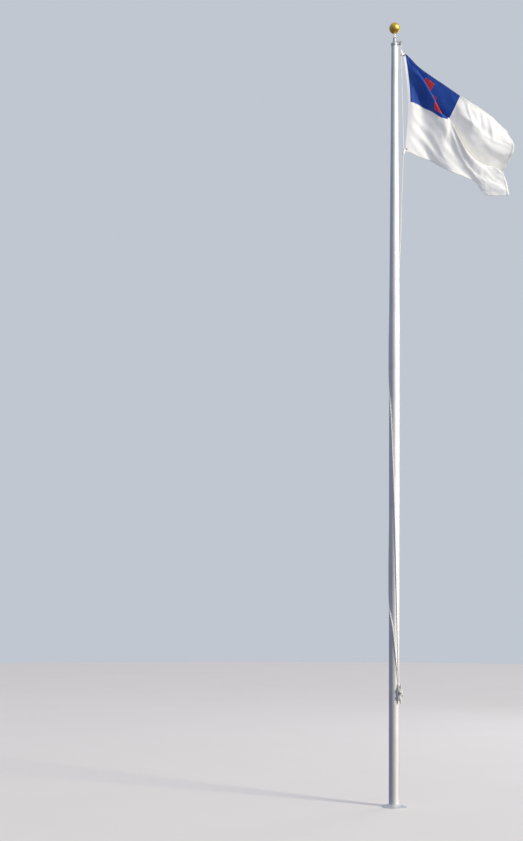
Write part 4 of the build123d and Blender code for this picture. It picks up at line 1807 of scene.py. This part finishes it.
@dataclass
class Flag:
    """The sewn flag: header, canton, cross, two fields, hems, seams and stitching.

    Thicknesses, the header's hole radius and the thread are in metres, what lies on the cut is in
    millimetres.
    """

    cut: Cut = field(default_factory=Cut)
    cloth_thickness: float = 0.45 * MM
    hem_thickness: float = 1.5 * MM
    seam_thickness: float = 1.3 * MM
    header_thickness: float = 2.4 * MM
    header_edge: float = 0.55
    header_fold: float = 1.2
    header_rows: int = 140
    hole_radius: float = 8.5 * MM
    thread_radius: float = 0.35 * MM
    thread_proud: float = 0.2 * MM
    stitch: float = 3.4
    stitch_gap: float = 1.7
    fold_inset: float = 2.5
    edge_inset: float = 3.0
    seam_inset: float = 1.5
    row_end: float = 2.0
    fly_rows: tuple[float, ...] = (11.0, 19.0)
    header_insets: tuple[float, ...] = (3.0, 9.0)
    header_row_end: float = 4.0
    cloth_pieces: dict[str, bpy.types.Object] = field(default_factory=dict)

    def __post_init__(self) -> None:
        """Work out the drape from the header's place in the frame."""
        low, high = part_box("flag_header")
        self.drape = Drape(Vector((low[0], 0, high[2])), self.cut)
        self.out, self.down = self.cut.grid_lines()
        self.grid, self.normal = self.drape.surface(self.out, self.down)

    def patch(
        self, name: str, keep: Callable[[float, float], bool], thickness: float
    ) -> bpy.types.Object:
        """A piece of cloth over the cells of the cut that belong to it.

        Args:
            name: the piece's name.
            keep: tells whether a cell's middle belongs to it.
            thickness: of the cloth.

        Returns:
            The piece, with its cut's coordinates as UV.
        """
        columns = len(self.out)
        used: dict[int, int] = {}
        faces = []
        for row in range(len(self.down) - 1):
            for column in range(columns - 1):
                middle_out = (self.out[column] + self.out[column + 1]) / 2
                middle_down = (self.down[row] + self.down[row + 1]) / 2
                if keep(middle_out, middle_down):
                    first = row * columns + column
                    ring = (first, first + 1, first + columns + 1, first + columns)
                    faces.append(tuple(used.setdefault(at, len(used)) for at in ring))
        order = list(used)
        made = solid_mesh(name, self.grid.reshape(-1, 3)[order], faces)
        layer = made.data.uv_layers.new(name="cut")
        for loop, corner in zip(layer.data, made.data.loops):
            row, column = divmod(order[corner.vertex_index], columns)
            loop.uv = (self.out[column] * MM, self.down[row] * MM)
        shell = made.modifiers.new("thickness", "SOLIDIFY")
        shell.thickness = thickness
        shell.offset = 0.0
        return made

    def cloth(self) -> None:
        """The four coloured pieces."""
        finishes = {
            "flag_blue_canton": ("blue_nylon", "flag_canton"),
            "flag_red_cross": ("red_nylon", "flag_cross"),
            "flag_upper_field": ("white_nylon", "flag_field_upper"),
            "flag_lower_field": ("white_nylon", "flag_field_lower"),
        }
        for name, (slot, node) in finishes.items():

            def keep(out: float, down: float, name: str = name) -> bool:
                """Whether a point belongs to this piece."""
                return self.cut.piece(out, down) == name

            piece = finish_with(self.patch(name, keep, self.cloth_thickness), slot)
            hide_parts(node)
            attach(piece, "flag")
            self.cloth_pieces[name] = piece

    def hems(self) -> list[bpy.types.Object]:
        """The folded hems on three sides and the felled seams.

        Returns:
            The white hems, the blue hem, the canton's seams and the cross's.
        """
        cut = self.cut
        wide = 2 * cut.seam

        def white_hem(out: float, down: float) -> bool:
            """Whether a point lies in a white hem."""
            hemmed = down < cut.hem or down > cut.hoist - cut.hem or out > cut.fly - cut.fly_hem
            return hemmed and not blue_hem(out, down)

        def blue_hem(out: float, down: float) -> bool:
            """Whether a point lies in the canton's hem."""
            return down < cut.hem and out < cut.canton_fly

        def canton_seam(out: float, down: float) -> bool:
            """Whether a point lies in the seams round the canton, on the white side."""
            below, beside = down - cut.canton_hoist, out - cut.canton_fly
            return 0 < below < wide and out > cut.header or 0 < beside < wide and below < 0

        def cross_seam(out: float, down: float) -> bool:
            """Whether a point lies in the cross's turned edge."""
            return cut.in_cross(out, down) and not cut.in_cross(out, down, -cut.seam)

        pieces = [
            self.patch("flag_white_hems", white_hem, self.hem_thickness),
            self.patch("flag_blue_hem", blue_hem, self.hem_thickness),
            self.patch("flag_canton_seams", canton_seam, self.seam_thickness),
            self.patch("flag_cross_seams", cross_seam, self.seam_thickness),
        ]
        for piece, slot in zip(pieces, ("white_nylon", "blue_nylon", "white_nylon", "red_nylon")):
            finish_with(piece, slot)
            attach(piece, "flag")
        return pieces

    def header(self) -> bpy.types.Object:
        """The canvas header with holes for its grommets.

        Returns:
            The header.
        """
        inside = np.linspace(self.header_fold, self.cut.header - self.header_fold, 6)
        out = np.array([0.0, *inside, self.cut.header])
        down = np.linspace(0, self.cut.hoist, self.header_rows)
        grid = self.drape.places(out, down)
        shares = np.array([self.header_edge, *[1.0] * len(inside), self.header_edge])
        away = self.drape.normals(grid) * (self.header_thickness / 2 * shares)[None, :, None]
        rings = np.concatenate([grid - away, (grid + away)[:, ::-1]], axis=1)
        sides = rings.shape[1]
        faces = ring_faces(len(down), sides)
        made = solid_mesh("flag_canvas_header", rings.reshape(-1, 3), faces, smooth=False)
        layer = made.data.uv_layers.new(name="cut")
        across = np.concatenate([out, out[::-1]])
        for loop, corner in zip(layer.data, made.data.loops):
            row, column = divmod(corner.vertex_index, sides)
            loop.uv = (across[column] * MM, down[row] * MM)
        for node in ("grommet_upper", "grommet_lower"):
            self.punch(made, node)
        finish_with(made, "header_canvas")
        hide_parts("flag_header")
        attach(made, "flag")
        return made

    def punch(self, header: bpy.types.Object, grommet: str) -> None:
        """Cut a grommet's hole in the header.

        Args:
            header: the header.
            grommet: the grommet's node.
        """
        low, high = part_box(grommet)
        middle = Matrix.Translation(((low[0] + high[0]) / 2, 0, (low[2] + high[2]) / 2))
        cutter = bpy.data.objects.new("hole", bpy.data.meshes.new("hole"))
        bpy.context.scene.collection.objects.link(cutter)
        shape = bmesh.new()
        bmesh.ops.create_cone(
            shape,
            cap_ends=True,
            segments=40,
            radius1=self.hole_radius,
            radius2=self.hole_radius,
            depth=0.08,
            matrix=middle @ Matrix.Rotation(math.pi / 2, 4, "X"),
        )
        shape.to_mesh(cutter.data)
        shape.free()
        hole = header.modifiers.new("hole", "BOOLEAN")
        hole.operation = "DIFFERENCE"
        hole.object = cutter
        bpy.context.view_layer.update()
        graph = bpy.context.evaluated_depsgraph_get()
        punched = bpy.data.meshes.new_from_object(header.evaluated_get(graph))
        header.modifiers.clear()
        header.data = punched
        bpy.data.objects.remove(cutter)

    def stitch_lines(self) -> list[Row]:
        """The straight rows of stitches on the cut, each from one point to another.

        Returns:
            The rows along the hems and the canton's seams, then the ring round the cross.
        """
        cut = self.cut
        near, inset = self.edge_inset, self.fold_inset
        start, end = cut.header + self.row_end, cut.fly - self.row_end
        rows = []
        for aside in (near, cut.hem - inset):
            rows += [((start, down), (end, down)) for down in (aside, cut.hoist - aside)]
        for aside in (near, *self.fly_rows, cut.fly_hem - inset):
            rows.append(((cut.fly - aside, near), (cut.fly - aside, cut.hoist - near)))
        for aside in (self.seam_inset, 2 * cut.seam - self.seam_inset):
            down, out = cut.canton_hoist + aside, cut.canton_fly + aside
            rows.append(((start, down), (cut.fly - near, down)))
            rows.append(((out, near), (out, cut.canton_hoist)))
        half_span, half_upright = cut.cross_span / 2 - inset, cut.upright_width / 2 - inset
        left, right = cut.cross_out - half_span, cut.cross_out + half_span
        inner_left, inner_right = cut.cross_out - half_upright, cut.cross_out + half_upright
        top, bottom = cut.cross_down + inset, cut.cross_bottom - inset
        arm_top, arm_bottom = cut.arm_top + inset, cut.arm_bottom - inset
        ring = [
            (inner_left, top),
            (inner_right, top),
            (inner_right, arm_top),
            (right, arm_top),
            (right, arm_bottom),
            (inner_right, arm_bottom),
            (inner_right, bottom),
            (inner_left, bottom),
            (inner_left, arm_bottom),
            (left, arm_bottom),
            (left, arm_top),
            (inner_left, arm_top),
        ]
        return rows + list(zip(ring, ring[1:] + ring[:1]))

    def header_stitch_lines(self) -> list[Row]:
        """The rows of stitches that hold the cloth in the header.

        Returns:
            The rows.
        """
        start, end = self.header_row_end, self.cut.hoist - self.header_row_end
        places = [self.cut.header - inset for inset in self.header_insets]
        return [((out, start), (out, end)) for out in places]

    def stitches(self, name: str, rows: list[Row], half_cloth: float) -> bpy.types.Object:
        """Short threads that show on both faces of the cloth.

        Args:
            name: the piece's name.
            rows: the rows.
            half_cloth: half the cloth's thickness, which each thread stands out of.

        Returns:
            The stitches as one mesh.
        """
        points: list[np.ndarray] = []
        faces: list[tuple[int, ...]] = []
        thread = ring_faces(2, 6)
        proud = half_cloth + self.thread_proud
        pitch = self.stitch + self.stitch_gap
        for (out_0, down_0), (out_1, down_1) in rows:
            length = math.hypot(out_1 - out_0, down_1 - down_0)
            start = np.arange(int(length / pitch)) * pitch / length
            ends = [
                self.read(out_0 + (out_1 - out_0) * share, down_0 + (down_1 - down_0) * share)
                for share in (start, start + self.stitch / length)
            ]
            along = ends[1][0] - ends[0][0]
            along /= np.linalg.norm(along, axis=1, keepdims=True)
            side = np.cross(along, ends[0][1])
            for stitch in range(len(start)):
                base = len(points)
                for place, normal in ends:
                    middle, up = place[stitch], normal[stitch]
                    across = side[stitch] * self.thread_radius
                    low, high = up * (proud - self.thread_radius), up * proud
                    points += [
                        middle - across - low,
                        middle - high,
                        middle + across - low,
                        middle + across + low,
                        middle + high,
                        middle - across + low,
                    ]
                faces += [tuple(base + at for at in face) for face in thread]
        made = solid_mesh(name, np.array(points), faces, smooth=False)
        finish_with(made, THREAD)
        made.data.uv_layers.new(name="cut")
        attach(made, "flag")
        return made

    def read(self, out: np.ndarray, down: np.ndarray) -> tuple[np.ndarray, np.ndarray]:
        """Places and normals at points of the cut, read between the grid's lines.

        Args:
            out: distances along the fly.
            down: distances down the hoist.

        Returns:
            The places and the normals, one row for each point.
        """
        column = np.clip(np.searchsorted(self.out, out) - 1, 0, len(self.out) - 2)
        row = np.clip(np.searchsorted(self.down, down) - 1, 0, len(self.down) - 2)
        right = ((out - self.out[column]) / (self.out[column + 1] - self.out[column]))[:, None]
        low = ((down - self.down[row]) / (self.down[row + 1] - self.down[row]))[:, None]
        found = []
        for source in (self.grid, self.normal):
            top = source[row, column] * (1 - right) + source[row, column + 1] * right
            bottom = source[row + 1, column] * (1 - right) + source[row + 1, column + 1] * right
            found.append(top * (1 - low) + bottom * low)
        return found[0], found[1]

    def declare(
        self,
        threads: list[bpy.types.Object],
    ) -> None:
        """Work out the cross's area on the cut and look up the sheets; nothing is stated or kept.

        Args:
            threads: the cloth's stitches and the header's.
        """
        cut = self.cut
        cross_area = cut.upright_width * cut.cross_height
        cross_area += (cut.cross_span - cut.upright_width) * cut.arm_width
        pieces = self.cloth_pieces
        pieces["flag_blue_canton"]
        pieces["flag_red_cross"]
        pieces["flag_upper_field"]
        pieces["flag_lower_field"]
        threads[0]
        threads[1]

    def build(self) -> list[bpy.types.Object]:
        """Make every piece of the flag.

        Returns:
            The pieces.
        """
        self.cloth()
        hems = self.hems()
        header = self.header()
        threads = [
            self.stitches("flag_stitches", self.stitch_lines(), self.hem_thickness / 2),
            self.stitches("header_stitches", self.header_stitch_lines(), self.header_thickness / 2),
        ]
        self.declare(threads)
        return [*self.cloth_pieces.values(), *hems, header, *threads]


# The studio


@dataclass
class Softbox:
    """A large soft light that looks at a point."""

    name: str
    place: tuple[float, float, float]
    aim: tuple[float, float, float]
    size: tuple[float, float]
    power: float
    colour: Colour

    def hang(self) -> None:
        """Put the light in the scene."""
        light = bpy.data.lights.new(self.name, "AREA")
        light.shape = "RECTANGLE"
        light.size, light.size_y = self.size
        light.energy = self.power
        light.color = self.colour
        lamp = bpy.data.objects.new(self.name, light)
        lamp.location = self.place
        look = Vector(self.aim) - Vector(self.place)
        lamp.rotation_euler = look.to_track_quat("-Z", "Y").to_euler()
        bpy.context.scene.collection.objects.link(lamp)


@dataclass
class Studio:
    """Camera, floor and soft light."""

    camera_place: tuple[float, float, float] = (-1.5860, -14.3671, 2.3593)
    camera_tilt: float = 1.4996
    camera_roll: float = 0.1958
    focal_pixels: float = 1203.2
    frame_height: float = 841.0
    sensor: float = 36.0
    shift_up: float = 0.185
    floor_radius: float = 38.0
    floor_sides: int = 120
    backdrop: Colour = (0.53, 0.57, 0.63)
    mirrored_room: Colour = (0.18, 0.25, 0.42)
    ceiling: Colour = (0.46, 0.50, 0.54)
    ground_room: Colour = (0.15, 0.12, 0.10)
    soft_room: Colour = (0.55, 0.56, 0.65)
    soft_ground: Colour = (0.36, 0.37, 0.42)
    softboxes: tuple[Softbox, ...] = (
        Softbox(
            "key",
            place=(138.0, -90.6, 69.5),
            aim=(0.2, 0, 5.0),
            size=(36.0, 78.0),
            power=240000.0,
            colour=(1.0, 0.94, 0.83),
        ),
        Softbox(
            "low key",
            place=(168.0, -110.4, 26.0),
            aim=(0.0, 0, 1.0),
            size=(42.0, 27.0),
            power=90000.0,
            colour=(1.0, 0.94, 0.84),
        ),
        Softbox(
            "rim",
            place=(9.0, 10.0, 8.0),
            aim=(0.3, 0, 6.0),
            size=(4.0, 10.0),
            power=320.0,
            colour=(0.86, 0.90, 1.0),
        ),
    )

    def camera(self) -> None:
        """The camera where the photographer's would see the whole pole at this height of frame."""
        data = bpy.data.cameras.new("camera")
        data.sensor_fit = "VERTICAL"
        data.sensor_height = self.sensor
        data.lens = self.focal_pixels / self.frame_height * self.sensor
        data.shift_y = self.shift_up
        data.clip_end = 200.0
        camera = bpy.data.objects.new("camera", data)
        tilt = Matrix.Rotation(math.radians(90 + self.camera_tilt), 4, "X")
        roll = Matrix.Rotation(math.radians(self.camera_roll), 4, "Z")
        camera.matrix_world = Matrix.Translation(self.camera_place) @ tilt @ roll
        bpy.context.scene.collection.objects.link(camera)
        bpy.context.scene.camera = camera

    def floor(self) -> None:
        """A round pale floor at ground level."""
        turns = np.linspace(0, 2 * math.pi, self.floor_sides, endpoint=False)
        circle = np.stack([np.cos(turns), np.sin(turns), np.zeros(self.floor_sides)], axis=1)
        disc = [tuple(range(self.floor_sides))]
        floor = solid_mesh("studio_floor", self.floor_radius * circle, disc)
        floor.data.materials.append(RACK[Floor("studio floor", (0.82, 0.79, 0.74), 0.8)])
        floor.visible_glossy = False
        floor.visible_diffuse = False

    def lights(self) -> None:
        """A warm key far off to the front right, a lower one, and a faint rim from behind."""
        for softbox in self.softboxes:
            softbox.hang()

    def room(self) -> None:
        """A cool room that lights the shaded sides, behind a plain pale backdrop."""
        world = bpy.data.worlds.new("room")
        world.use_nodes = True
        sketch = Sketch(world.node_tree)
        path = sketch.add("LightPath").outputs
        height = sketch.apart(sketch.add("TexCoord").outputs["Generated"])[2]
        above = sketch.spread(height, -0.25, 0.1)
        overhead = sketch.spread(height, 0.35, 0.95)
        upper = sketch.blend(overhead, self.mirrored_room, self.ceiling)
        mirrored = sketch.blend(above, self.ground_room, upper)
        soft = sketch.blend(above, self.soft_ground, self.soft_room)
        room = sketch.blend(path["Is Diffuse Ray"], mirrored, soft)
        colour = sketch.blend(path["Is Camera Ray"], room, self.backdrop)
        sketch.join(colour, world.node_tree.nodes["Background"].inputs["Color"])
        bpy.context.scene.world = world

    def build(self) -> None:
        """Set up the camera, the floor, the lights and the room."""
        self.camera()
        self.floor()
        self.lights()
        self.room()
        bpy.context.scene.view_settings.view_transform = "Standard"


def dress_frame(frame: dict) -> None:
    """Give every CAD node that shows the finish of its slot.
    """
    slots = {part["node"]: part["material_slot"] for part in frame["record"]["subparts"]}
    for name, node in frame["nodes"].items():
        material = RACK[slots[name]]
        node.data.materials.clear()
        node.data.materials.append(material)


def main() -> None:
    """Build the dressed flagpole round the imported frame."""
    logging.basicConfig(level=logging.INFO, format="%(name)s: %(message)s")
    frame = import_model()
    Studio().build()
    dress_frame(frame)
    for part in (Halyard(), Shaft(), Finial(), Flag()):
        for piece in part.build():
            LOG.info("%s: %s", type(part).__name__, piece.name)


if __name__ == "__main__":
    main()
